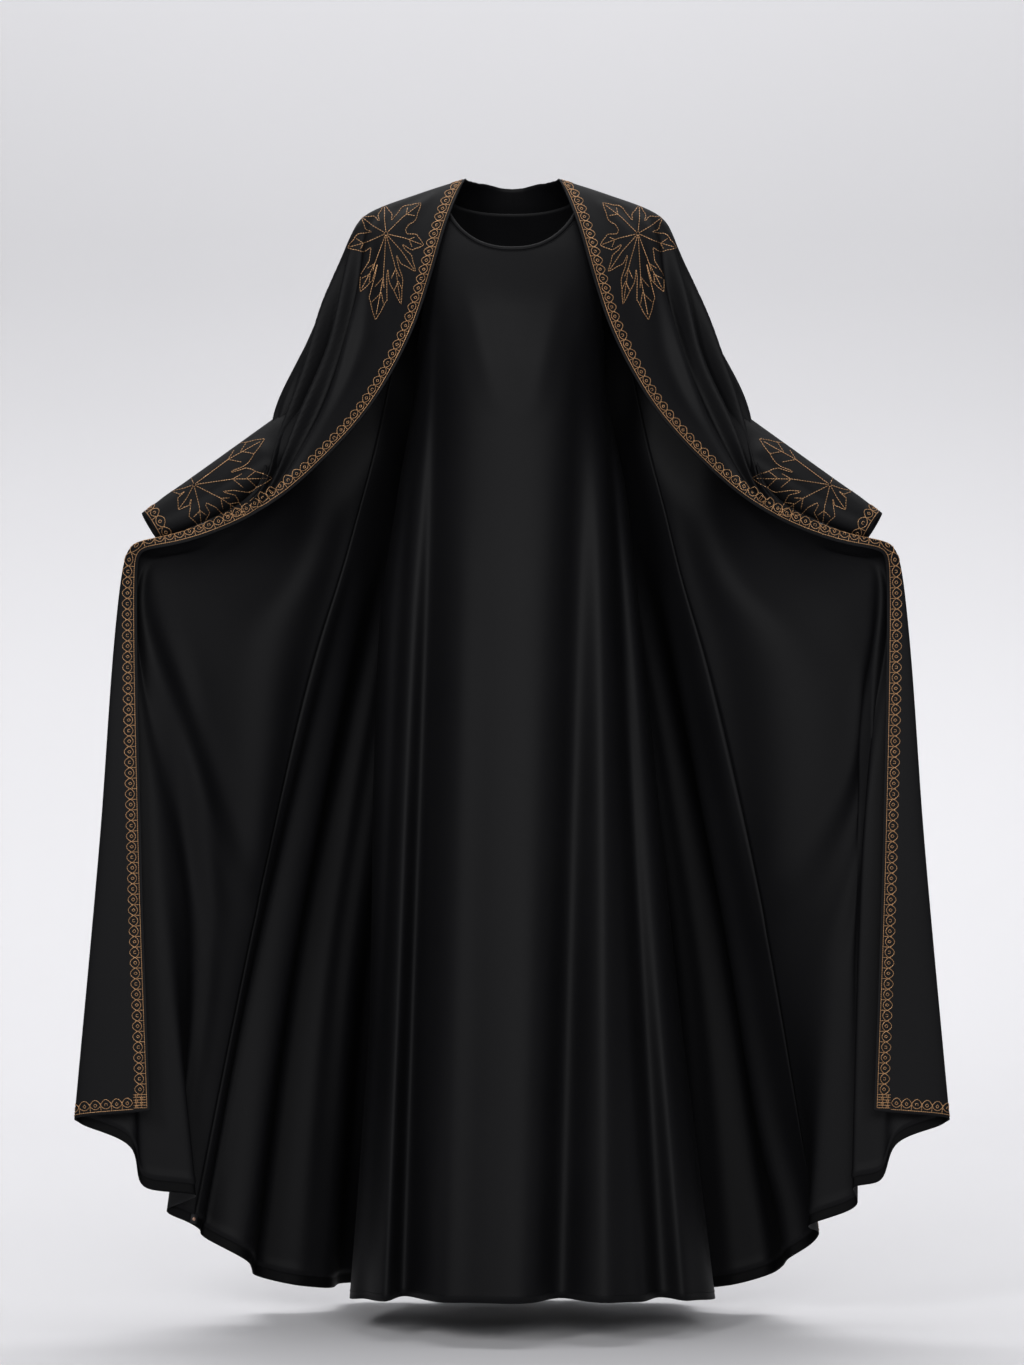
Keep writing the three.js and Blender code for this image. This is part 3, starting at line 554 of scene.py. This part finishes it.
# A dark line of stitches down each side seam, on the inside
seamLines = []
seamRows = slice(robe["seamRow"], -7)
for column in (seamColumn, lastColumn - seamColumn):
    line = robeGrid[column, seamRows] - robeNormal[column, seamRows] * (robe["lining"] + 0.1) * mm
    seamLines.append(resampled(line, robe["seamStitch"] * mm))
placed(threadTubes("side_seam_stitches", seamLines, robe["seamRadius"], darkThread), "thread")

# Forearm sleeves. The lower front of each hangs in a soft point to the front edge of the robe
sleeve = {"elbow": (-262, -14, -322), "cuff": (-464, -50, -446), "elbowRadius": 40, "cuffRadius": 22,
          "sides": 72, "rings": 64, "wall": 0.8}
sleeveTip = [[0, -46, -346], [0.2, -62, -372], [0.3, -74, -383], [0.67, -72, -439],
             [0.9, -73, -455], [1, -67.6, -459]]  # share, y, z
sleeveFolds = [  # share along, turn round, length, width, depth
    [0.25, 0.6, 0.16, 0.30, 3.5], [0.45, 1.4, 0.2, 0.25, -3], [0.62, 0.7, 0.18, 0.28, 3],
    [0.78, 1.6, 0.12, 0.25, -2.5], [0.35, 2.4, 0.2, 0.3, 3], [0.7, 3.4, 0.2, 0.3, -3],
    [0.5, 4.6, 0.2, 0.3, 3], [0.86, 0.4, 0.07, 0.4, 2],
]


def sleeveGrid(side):
    elbow, cuff = np.array(sleeve["elbow"], float), np.array(sleeve["cuff"], float)
    axis = (cuff - elbow) / np.linalg.norm(cuff - elbow)
    across = np.cross([0, 1, 0], axis)
    across /= np.linalg.norm(across)
    up = np.cross(axis, across)
    share = np.linspace(0, 1, sleeve["rings"])
    radius = sleeve["elbowRadius"] + (sleeve["cuffRadius"] - sleeve["elbowRadius"]) * share
    turn = 2 * math.pi * np.arange(sleeve["sides"]) / sleeve["sides"]
    ring = np.cos(turn)[:, None] * across + np.sin(turn)[:, None] * up
    centre = elbow + (cuff - elbow) * share[:, None]
    tips = np.array(sleeveTip)
    tip = curveThrough(tips[:, 0], tips[:, 1:], share)
    hang = np.concatenate([centre[:, :1], tip], axis=1) - centre
    reach = np.linalg.norm(hang, axis=1)
    lean = np.clip(ring @ (hang / reach[:, None]).T, 0, 1) ** 3
    size = radius[None, :] + (reach - radius)[None, :] * lean
    for at, where, length, width, depth in sleeveFolds:
        away = (turn[:, None] - where + math.pi) % (2 * math.pi) - math.pi
        size = size + depth * np.exp(-((share[None, :] - at - away * 0.05) / length) ** 2
                                     - (away / width) ** 2) * (1 - share[None, :] ** 8)
    points = centre[None] + ring[:, None] * size[:, :, None]
    if side > 0:
        points = points * [-1, 1, 1]
    points = points * mm
    normals = gridNormals(points, tube=True)
    if (normals * (points - centre.mean(axis=0) * mm * [-side, 1, 1])).sum() < 0:
        points = points[::-1]
        normals = gridNormals(points, tube=True)
    return points, normals


sleeves = {}
for name, side in (("left", -1), ("right", 1)):
    grid, normals = sleeveGrid(side)
    shell = clothShell(f"sleeve_{name}_cloth", grid, normals, sleeve["wall"], [satinCloth], tube=True)
    placed(shell, "robe_cloth", f"sleeve_{name}")
    sleeves[name] = (shell, grid, surfaceOf(grid, tube=True))
    print("sleeve", name, "area", round(clothArea(grid), 3))

# Borders

# The hem's border is left out between the shares plainFrom and plainTo of a side panel
border = {"line": 4.2, "middle": 12.4, "outer": 6.8, "inner": 5.2, "eye": 1.9, "loop": 13.6,
          "radius": 0.4, "step": 1.4, "corner": 17, "plainFrom": 0.285, "plainTo": 0.45}


# The lines of one border from start to end along an edge, as (s, t) in millimetres
def borderLines(start, end):
    count = max(int(round((end - start) / border["loop"])), 1)
    loop = (end - start) / count
    middle = border["middle"]
    s = np.linspace(start, end, count * 18 + 1)
    wave = np.sin(math.pi * (s - start) / loop)
    shaped = np.sign(wave) * np.abs(wave) ** 0.75
    lines = [np.stack([s, np.full_like(s, border["line"])], axis=1)]
    for way in (1, -1):
        side = shaped * way
        out = np.where(side > 0, side * border["outer"], side * border["inner"])
        lines.append(np.stack([s, middle + out], axis=1))
    turn = np.linspace(0, 2 * math.pi, 9)
    for k in range(count):
        centre = start + (k + 0.5) * loop
        size = border["eye"]
        if k % 3 == 0:
            lines.append(np.stack([centre + size * np.cos(turn), middle + size * np.sin(turn)], axis=1))
        elif k % 3 == 1:
            lines.append([[centre - size, middle], [centre, middle + 1.3 * size], [centre + size, middle],
                          [centre, middle - 1.3 * size], [centre - size, middle]])
        else:
            curl = np.linspace(-0.8, math.pi + 0.8, 9)
            lines.append(np.stack([centre + size * np.cos(curl), middle + size * np.sin(curl)], axis=1))
        if k:
            crossing = start + k * loop
            lines.append([[crossing - 2.2, middle + 3.6], [crossing, middle + 1.6],
                          [crossing + 2.2, middle + 3.6]])
            lines.append([[crossing, border["line"]], [crossing, middle - 1.6]])
    return lines


# A square fret that fills the corner of a border
def cornerLines(start, size):
    lines = []
    ticks = np.linspace(0, size, 6)
    for k, tick in enumerate(ticks):
        lines.append([[start + tick, border["line"]], [start + tick, border["line"] + size]])
        if k % 2 == 0:
            lines.append([[start, border["line"] + tick], [start + size, border["line"] + tick]])
    for k in range(5):
        low = border["line"] + (0.1 if k % 2 else 0.5) * size
        lines.append([[start + ticks[k], low + 0.2 * size], [start + ticks[k + 1], low + 0.2 * size]])
        lines.append([[start + ticks[k], low + 0.36 * size], [start + ticks[k + 1], low + 0.36 * size]])
    return lines


def stitched(node, edge, lines):
    done = [edge.line(resampled(line, border["step"])) for line in lines]
    return placed(threadTubes(f"{node}_threads", done, border["radius"], bronzeThread), "thread", node)


panelPieces = {"left": [], "back": [], "right": []}
for name in ("left", "right"):
    outerColumns = robeGrid if name == "left" else robeGrid[::-1]
    frontEdge = ClothEdge(outerColumns[0], outerColumns[8], robeSurfaces[name])
    cornerStart = frontEdge.length - border["corner"] - 4.4
    lines = borderLines(1, cornerStart) + cornerLines(cornerStart, border["corner"])
    panelPieces[name].append(stitched(f"front_border_{name}", frontEdge, lines))
for name, (first, last) in robeParts.items():
    part = robeGrid[first:last + 1]
    hemEdge = ClothEdge(part[:, -1], part[:, -9], robeSurfaces[name])
    lines = borderLines(0, hemEdge.length)
    if name != "back":
        # plain where the outside of the hem shows in the folds next to the seam
        runs = [np.interp(share, robeShares[:seamColumn + 1],
                          hemEdge.along if name == "left" else hemEdge.length - hemEdge.along[::-1])
                for share in (border["plainFrom"], border["plainTo"])]
        lines = borderLines(22, runs[0]) + borderLines(runs[1], hemEdge.length)
        if name == "right":
            lines = [np.asarray(line) * [-1, 1] + [hemEdge.length, 0] for line in lines]
    panelPieces[name].append(stitched(f"hem_border_{name}", hemEdge, lines))
    # the first columns of the neck are covered by the front border
    neckColumns = part[12:] if name == "left" else part[:-12] if name == "right" else part
    neckEdge = ClothEdge(neckColumns[:, 0], neckColumns[:, 3], robeSurfaces[name])
    lines = borderLines(1, neckEdge.length - 1)
    panelPieces[name].append(stitched(f"neck_border_{name}", neckEdge, lines))
for name in ("left", "right"):
    shell, grid, surface = sleeves[name]
    ring = np.concatenate([grid[:, -1], grid[:1, -1]])
    inner = np.concatenate([grid[:, -6], grid[:1, -6]])
    cuffEdge = ClothEdge(ring, inner, surface)
    panelPieces[name].append(stitched(f"cuff_border_{name}", cuffEdge, borderLines(0, cuffEdge.length)))
print("borders")

# Leaves: each lobe has a way it points in degrees, a length and a half width, about the stem
leaf = {"radius": 0.37, "bead": 0.8, "step": 1.7, "lift": 0.35,
        "shoulder": (162.5, -67), "forearm": (411, -391)}
leafLobes = {
    "shoulder": [(-97, 112, 16), (-78, 93, 9), (-52, 62, 9), (-17, 51, 14), (41, 60, 12), (93, 37, 9),
                 (146, 38, 10), (200, 53, 12), (246, 82, 12)],
    "forearm": [(33, 109, 15), (5, 101, 18), (-30, 77, 16), (-80, 57, 14), (-122, 38, 9), (196, 30, 8),
                (110, 34, 9)],
}


def leafLines(lobes):
    outline, veins = [], []
    lobes = sorted((math.radians(way) % (2 * math.pi), length, wide) for way, length, wide in lobes)

    def at(way, u, v):
        return [u * math.cos(way) - v * math.sin(way), u * math.sin(way) + v * math.cos(way)]

    # half a lobe, as shares of its length and of its half width
    half = ((0.50, 0.85), (0.60, 1), (0.68, 0.97), (0.76, 0.74), (0.79, 0.60), (0.90, 0.34))
    for k, (way, length, wide) in enumerate(lobes):
        after, afterLength, _ = lobes[(k + 1) % len(lobes)]
        between = (after - way) % (2 * math.pi)
        room = math.tan(min(0.46 * min(between, (way - lobes[k - 1][0]) % (2 * math.pi)), 1.2))
        side = [(u * length, min(v * wide, u * length * room)) for u, v in half]
        outline += [at(way, u, -v) for u, v in side]
        outline.append(at(way, length, 0))
        outline += [at(way, u, v) for u, v in reversed(side)]
        outline.append(at(way + between / 2, 0.5 * min(length, afterLength), 0))
        veins.append([at(way, 2, 0), at(way, 0.5 * length, 0.03 * length), at(way, 0.94 * length, 0)])
        for u in (0.5, 0.68) if length > 75 else (0.6,) if wide > 11 else ():
            reach = 0.6 * min(wide, (u + 0.12) * length * room)
            for hand in (1, -1):
                veins.append([at(way, u * length, 0.03 * length),
                              at(way, (u + 0.12) * length, hand * reach)])
    outline.append(outline[0])
    return [outline, *veins]


eyePoint = Vector(camera["place"])


# Drops a flat drawing onto the cloth as seen from the front
def onFront(lines, centre, surfaces):
    done = []
    for line in lines:
        run = []
        for x, z in resampled(line, leaf["step"]):
            spot = Vector(((centre[0] + x) * mm, 0, (centre[1] + z) * mm))
            way = (spot - eyePoint).normalized()
            hits = [s.ray_cast(eyePoint, way) for s in surfaces]
            hits = [h for h in hits if h[0] is not None]
            if hits:
                spot, normal, _, _ = min(hits, key=lambda h: h[3])
                if normal.dot(way) < -0.12:
                    run.append(tuple(spot + normal * (leaf["lift"] * mm)))
                    continue
            if len(run) > 1:
                done.append(run)
            run = []
        if len(run) > 1:
            done.append(run)
    return done


for name, side in (("left", -1), ("right", 1)):
    surfaces = [robeSurfaces[name], sleeves[name][2]]
    for kind, lobes in leafLobes.items():
        out, level = leaf[kind]
        lines = [np.array(line) * [-side, 1] for line in leafLines(lobes)]
        drawn = onFront(lines, (side * out, level), surfaces)
        threads = threadTubes(f"{kind}_leaf_{name}", drawn, leaf["radius"], bronzeThread, bead=leaf["bead"])
        panelPieces[name].append(placed(threads, "thread"))
print("leaves")

# Inner dress

dress = {"columns": 260, "rows": 168, "wall": 0.8, "top": -11, "foldTop": -190, "hem": -1446,
         "frontLift": 18}
dressSections = [  # z, half width left and right, depth front and back
    [-11, 84, 84, 10, 12], [-19, 106, 106, 20, 22], [-35, 134, 134, 34, 36],
    [-62, 144, 144, 54, 54], [-100, 140, 140, 79, 74], [-165, 128, 128, 104, 92],
    [-246, 126, 122, 114, 98], [-403, 148, 148, 116, 102], [-563, 171, 166, 124, 112],
    [-800, 180, 190, 142, 130], [-1055, 184, 216, 160, 150], [-1250, 196, 240, 172, 166],
    [-1446, 211, 264, 184, 184],
]
# Folds: face, x at the bust and at the hem, width, depth in
dressFolds = [
    [-1, -100, -133, 26, 34], [-1, 94, 62, 24, 36], [-1, 120, 196, 20, 24], [-1, -118, -192, 13, 14],
    [1, -85, -150, 26, 28], [1, -20, -40, 26, 30], [1, 52, 84, 26, 26], [1, 96, 186, 24, 24],
]
# Creases: face, x at their top and bottom, level of their top and bottom, width, depth out
dressCreases = [
    [-1, -128, -164, -300, -1600, 12, 9], [-1, 20, 4, -330, -1600, 30, 5],
    [-1, 112, 122, -260, -1600, 14, 7], [-1, 140, 232, -520, -1600, 12, 8],
    [-1, -150, -196, -620, -1600, 8, 6], [-1, -64, -92, -420, -1600, 16, 4],
    [-1, -60, -20, -120, -300, 14, 2], [-1, 62, 24, -130, -310, 14, 2],
    [1, -50, -90, -230, -1600, 12, 7], [1, -104, -176, -300, -1600, 10, 6], [1, 12, 20, -260, -1600, 12, 6],
    [1, 74, 128, -240, -1600, 12, 7], [1, 34, 54, -420, -1600, 9, -5], [1, 118, 214, -460, -1600, 10, 6],
]
# Pleats, sharp on one side: face, x at their top and at the hem, level of the top, width of the
# edge, depth in beyond it, length it takes to come out again, side of the edge that goes in
dressPleats = [
    [-1, -98, -150, -170, 6, 34, 34, 1], [-1, 118, 178, -200, 4, 40, 26, 1],
    [-1, 82, 48, -200, 10, 24, 34, 1], [-1, -124, -184, -260, 6, 22, 26, -1],
    [1, -70, -128, -260, 5, 14, 28, 1], [1, 66, 108, -250, 5, 14, 28, -1],
]
neckline = {"half": 86, "front": -87, "back": -40, "straight": -17}
armhole = {"middle": -134, "halfHeight": 98, "halfDepth": 58, "x": 118}


# Points of the dress's outside; levels has one row of heights for each angle
def dressGrid(angles, levels):
    sections = np.array(dressSections, float)
    read = curveThrough(-sections[:, 0], sections[:, 1:], -levels.ravel()).reshape(*levels.shape, 4)
    side, face = np.cos(angles)[:, None], np.sin(angles)[:, None]
    half = np.where(side < 0, read[..., 0], read[..., 1])
    deep = np.where(face < 0, read[..., 2], read[..., 3])
    x = half * np.sign(side) * np.abs(side) ** 0.9
    along = np.clip((dress["foldTop"] - levels) / (dress["foldTop"] - dress["hem"]), 0, 1)
    pressed = np.zeros_like(x)
    for where, top, hem, width, depth in dressFolds:
        centre = top + (hem - top) * along
        pressed += (np.sign(face) == where) * depth * along ** 0.6 * np.exp(-((x - centre) / width) ** 2)
    for where, first, last, top, bottom, width, depth in dressCreases:
        down = np.clip((top - levels) / (top - bottom), 0, 1)
        u = (x - first - (last - first) * down) / width
        strength = np.abs(np.sin(math.pi * (0.5 if bottom < dress["hem"] else 1) * down)) ** 0.8
        shape = np.exp(-u * u) - 0.6 * np.exp(-((u - 1.9) ** 2))
        pressed -= (np.sign(face) == where) * depth * strength * shape
    for where, first, last, top, width, depth, length, way in dressPleats:
        down = np.clip((top - levels) / (top - dress["hem"]), 0, 1)
        beyond = (x - first - (last - first) * down) * way
        edge = 1 / (1 + np.exp(-np.clip(beyond / width * 2, -30, 30)))
        shape = edge * np.exp(-np.maximum(beyond, 0) / length)
        pressed += (np.sign(face) == where) * depth * down ** 0.5 * shape
    depth = deep * np.abs(face) ** 0.9 - pressed * np.minimum(np.abs(face) * 2, 1)
    y = np.sign(face) * np.maximum(depth, 0)
    lift = np.where(face < 0, dress["frontLift"] * along ** 2 * np.abs(face), 0)
    return np.stack([x, y, levels + lift], axis=2)


# How far a point is above the neckline
def aboveNeck(points):
    x, y, z = points[..., 0], points[..., 1], points[..., 2]
    drop = np.where(y < 0, neckline["front"], neckline["back"])
    inside = np.clip(1 - (np.abs(x) / neckline["half"]) ** 2.3, 0, 1)
    edge = neckline["straight"] + (drop - neckline["straight"]) * inside ** 0.62
    return np.where(np.abs(x) < neckline["half"], z - edge, -1)


angles = 3 * math.pi - 2 * math.pi * np.arange(dress["columns"]) / dress["columns"]
probe = np.linspace(dress["top"], dress["top"] - 100, 401)
above = aboveNeck(dressGrid(angles, np.tile(probe, (len(angles), 1)))) > 0
neckLevel = probe[np.where(above.any(axis=1), above.shape[1] - np.argmax(above[:, ::-1], axis=1), 0)]
for _ in range(3):
    neckLevel = (np.roll(neckLevel, 1) + np.roll(neckLevel, -1) + 2 * neckLevel) / 4
down = np.linspace(0, 1, dress["rows"]) ** 1.15
levels = neckLevel[:, None] + (dress["hem"] - neckLevel)[:, None] * down
dressPoints = dressGrid(angles, levels)
dressPoints = softened(np.concatenate([dressPoints[-12:], dressPoints, dressPoints[:12]]), 0, 3)[12:-12]

# The armholes: cells inside the oval go, and the corners just inside it move out onto it
x, y, z = np.moveaxis(dressPoints, 2, 0)
oval = (y / armhole["halfDepth"]) ** 2 + ((z - armhole["middle"]) / armhole["halfHeight"]) ** 2
insideArm = (oval < 1) & (np.abs(x) > armhole["x"] - 12)
dressCells = cellsOf(dress["columns"], dress["rows"], tube=True)
keptCells = ~insideArm.ravel()[dressCells].all(axis=2)
grow = np.where(insideArm, 1 / np.sqrt(np.maximum(oval, 0.04)), 1)
dressPoints[..., 1] *= grow
dressPoints[..., 2] = armhole["middle"] + (z - armhole["middle"]) * grow
dressPoints *= mm
dressNormal = gridNormals(dressPoints, tube=True)
columns = dress["columns"]
halfway = columns // 2
dressPanels = {}
for name, order in (("back", np.arange(halfway + 1)), ("front", np.arange(halfway, columns + 1) % columns)):
    shell = clothShell(f"dress_{name}_cloth", dressPoints[order], dressNormal[order], dress["wall"],
                       [dressSatin], keep=keptCells[order[:-1]])
    dressPanels[name] = placed(shell, "dress_cloth", f"dress_{name}_upper", f"dress_{name}_lower")
    print("dress panel", name, "area", round(clothArea(dressPoints[order]), 3))

# The binding: a narrow rolled strip round the neckline, then a row of stitches under it and
# one above the hem. Its profile is how far into the cloth and how high each of its lines is
trim = {"profile": ((0.1, 0.3), (0.5, 1.3), (1.8, 1.9), (3.4, 1.9), (4.8, 1.3), (5.4, 0.35)),
        "stations": 241, "wall": 0.5, "stitchIn": 6.6, "stitch": 2.4, "radius": 0.45}
dressClosed = np.concatenate([dressPoints, dressPoints[:1]])
neckEdge = ClothEdge(dressClosed[:, 0], dressClosed[:, 3], surfaceOf(dressPoints, tube=True))
stations = np.linspace(0, neckEdge.length, trim["stations"])
strip = []
for into, rise in trim["profile"]:
    strip.append(neckEdge.line(np.stack([stations, np.full_like(stations, into)], axis=1), rise)[:-1])
bindingGrid = np.stack(strip, axis=1)
bindingNormal = gridNormals(bindingGrid, tube=True)
binding = clothShell("dress_neck_binding_cloth", bindingGrid, bindingNormal, trim["wall"],
                     [dressSatin], tube=True)
placed(binding, "dress_cloth", "dress_neck_binding")
hemStitches = resampled(dressClosed[:, -1] * 0.06 + dressClosed[:, -2] * 0.94, trim["stitch"] * mm)
neckRow = [[0, trim["stitchIn"]], [neckEdge.length, trim["stitchIn"]]]
neckStitches = neckEdge.line(resampled(neckRow, trim["stitch"]), 0.1)
placed(threadTubes("dress_stitches", [hemStitches, neckStitches], trim["radius"], darkThread), "thread")
print("dress")

# A small snap at the lower end of the left side seam, on the inside, on a short tab
snap = {"tab": (4.5, 6.5), "rise": 0.4,
        "profile": [(2.2, 0), (2.2, 0.7), (1.7, 1.1), (0.9, 1.1), (0.8, 1.6), (0.3, 1.9)]}


def discAt(name, centre, axis, profile, material, sides=24):
    spin = axis.to_track_quat("Z", "Y")
    turns = 2 * math.pi * np.arange(sides) / sides
    points = []
    for radius, height in profile:
        points += [centre + spin @ Vector((radius * math.cos(t), radius * math.sin(t), height)) * mm
                   for t in turns]
    faces = []
    for k in range(len(profile) - 1):
        for i in range(sides):
            after = (i + 1) % sides
            near, far = k * sides, (k + 1) * sides
            faces.append([near + i, near + after, far + after, far + i])
    faces.append(list(range(sides))[::-1])
    faces.append([(len(profile) - 1) * sides + i for i in range(sides)])
    return meshObject(name, points, faces, [material])


snapSpot = Vector(robeGrid[seamColumn, -4] - robeNormal[seamColumn, -4] * robe["wall"] * mm)
snapWay = -Vector(robeNormal[seamColumn, -4])
snapMetal = threadMaterial("snap metal", (0.22, 0.11, 0.075, 1), (0.42, 0.26, 0.19, 1))
snapDisc = discAt("side_seam_snap", snapSpot + snapWay * snap["rise"] * mm, snapWay,
                  snap["profile"], snapMetal)
placed(snapDisc, "thread")
tabPoints = []
downCloth = Vector(robeGrid[seamColumn, -1] - robeGrid[seamColumn, -8]).normalized()
acrossCloth = downCloth.cross(snapWay)
for rise in (0, snap["rise"]):
    for a, b in ((-1, -1), (1, -1), (1, 1), (-1, 1)):
        tabPoints.append(snapSpot + (acrossCloth * (a * snap["tab"][0]) + downCloth * (b * snap["tab"][1])
                                     + snapWay * rise) * mm)
tabFaces = [[3, 2, 1, 0], [4, 5, 6, 7]] + [[i, (i + 1) % 4, 4 + (i + 1) % 4, 4 + i] for i in range(4)]
tabCloth = satinMaterial("snap tab", 3.0, 0.2)
placed(meshObject("side_seam_snap_tab", tabPoints, tabFaces, [tabCloth]), "robe_cloth")

# What each piece of cloth was cut from: its width and length, then its area in square metres
robeCuts = {"left": (0.52, 1.32, 0.44), "back": (1.0, 1.5, 1.06), "right": (0.52, 1.32, 0.45)}
cuts = [(robePanels[name], cut, panelPieces[name]) for name, cut in robeCuts.items()]
cuts += [(sleeves[name][0], (0.26, 0.25, 0.052), []) for name in ("left", "right")]
cuts += [(dressPanels[name], (0.74, 1.45, 0.71), []) for name in ("front", "back")]
cuts.append((binding, (0.45, 0.012, 0.0042), []))

# Floor, light and camera

floorGrey = stageMaterial("studio floor", (0.58, 0.576, 0.594), (0.40, 0.397, 0.41), 0.6)
# Rows of half width, depth and height: a wide floor, and a narrow wall that leaves the back in view
floorPoints, floorFaces = [], []
sweep = [(6, -9, 0), (6, 2.4, 0)] + [
    (1.7, 2.5 + 1.5 * math.sin(a), 1.5 - 1.5 * math.cos(a)) for a in np.linspace(0, math.pi / 2, 11)
] + [(1.7, 4, 6)]
for half, y, z in sweep:
    floorPoints += [(-half, y, floorLevel + z), (half, y, floorLevel + z)]
for k in range(len(sweep) - 1):
    floorFaces.append([2 * k, 2 * k + 1, 2 * k + 3, 2 * k + 2])
meshObject("studio_floor", floorPoints, floorFaces, [floorGrey])


def lookingAt(made, place, aim):
    made.location = place
    made.rotation_euler = (Vector(aim) - Vector(place)).to_track_quat("-Z", "Y").to_euler()
    bpy.context.scene.collection.objects.link(made)


def softLight(name, place, aim, size, power):
    data = bpy.data.lights.new(name, "AREA")
    data.shape = "RECTANGLE"
    data.size, data.size_y = size
    data.energy = power
    lookingAt(bpy.data.objects.new(name, data), place, aim)


softLight("front", (0.2, -6.8, 1.0), (0, 0, -0.7), (2.4, 1.4), 190)
softLight("key", (-2.2, -5.4, 1.8), (0, 0, -0.7), (1.2, 1.6), 150)
softLight("fill", (2.0, -5.6, 1.2), (0, 0, -0.7), (1.2, 1.6), 75)
softLight("top", (0, 0.2, 3.4), (0, 0, -0.6), (4.5, 3), 130)
softLight("wall", (0, 2.0, 3.0), (0, 4.2, 0), (6, 2), 205)

world = bpy.data.worlds.new("studio")
world.use_nodes = True
background = world.node_tree.nodes["Background"]
background.inputs["Color"].default_value = (0.95, 0.96, 1.0, 1)
background.inputs["Strength"].default_value = 0.22
bpy.context.scene.world = world

view = bpy.context.scene.view_settings
view.view_transform = "Standard"
view.look = "None"

cameraData = bpy.data.cameras.new("camera")
cameraData.sensor_fit = "VERTICAL"
cameraData.sensor_height = camera["sensor"]
cameraData.lens = camera["lens"]
cameraData.clip_end = 60
eye = bpy.data.objects.new("camera", cameraData)
lookingAt(eye, camera["place"], camera["aim"])
bpy.context.scene.camera = eye
print("stage")
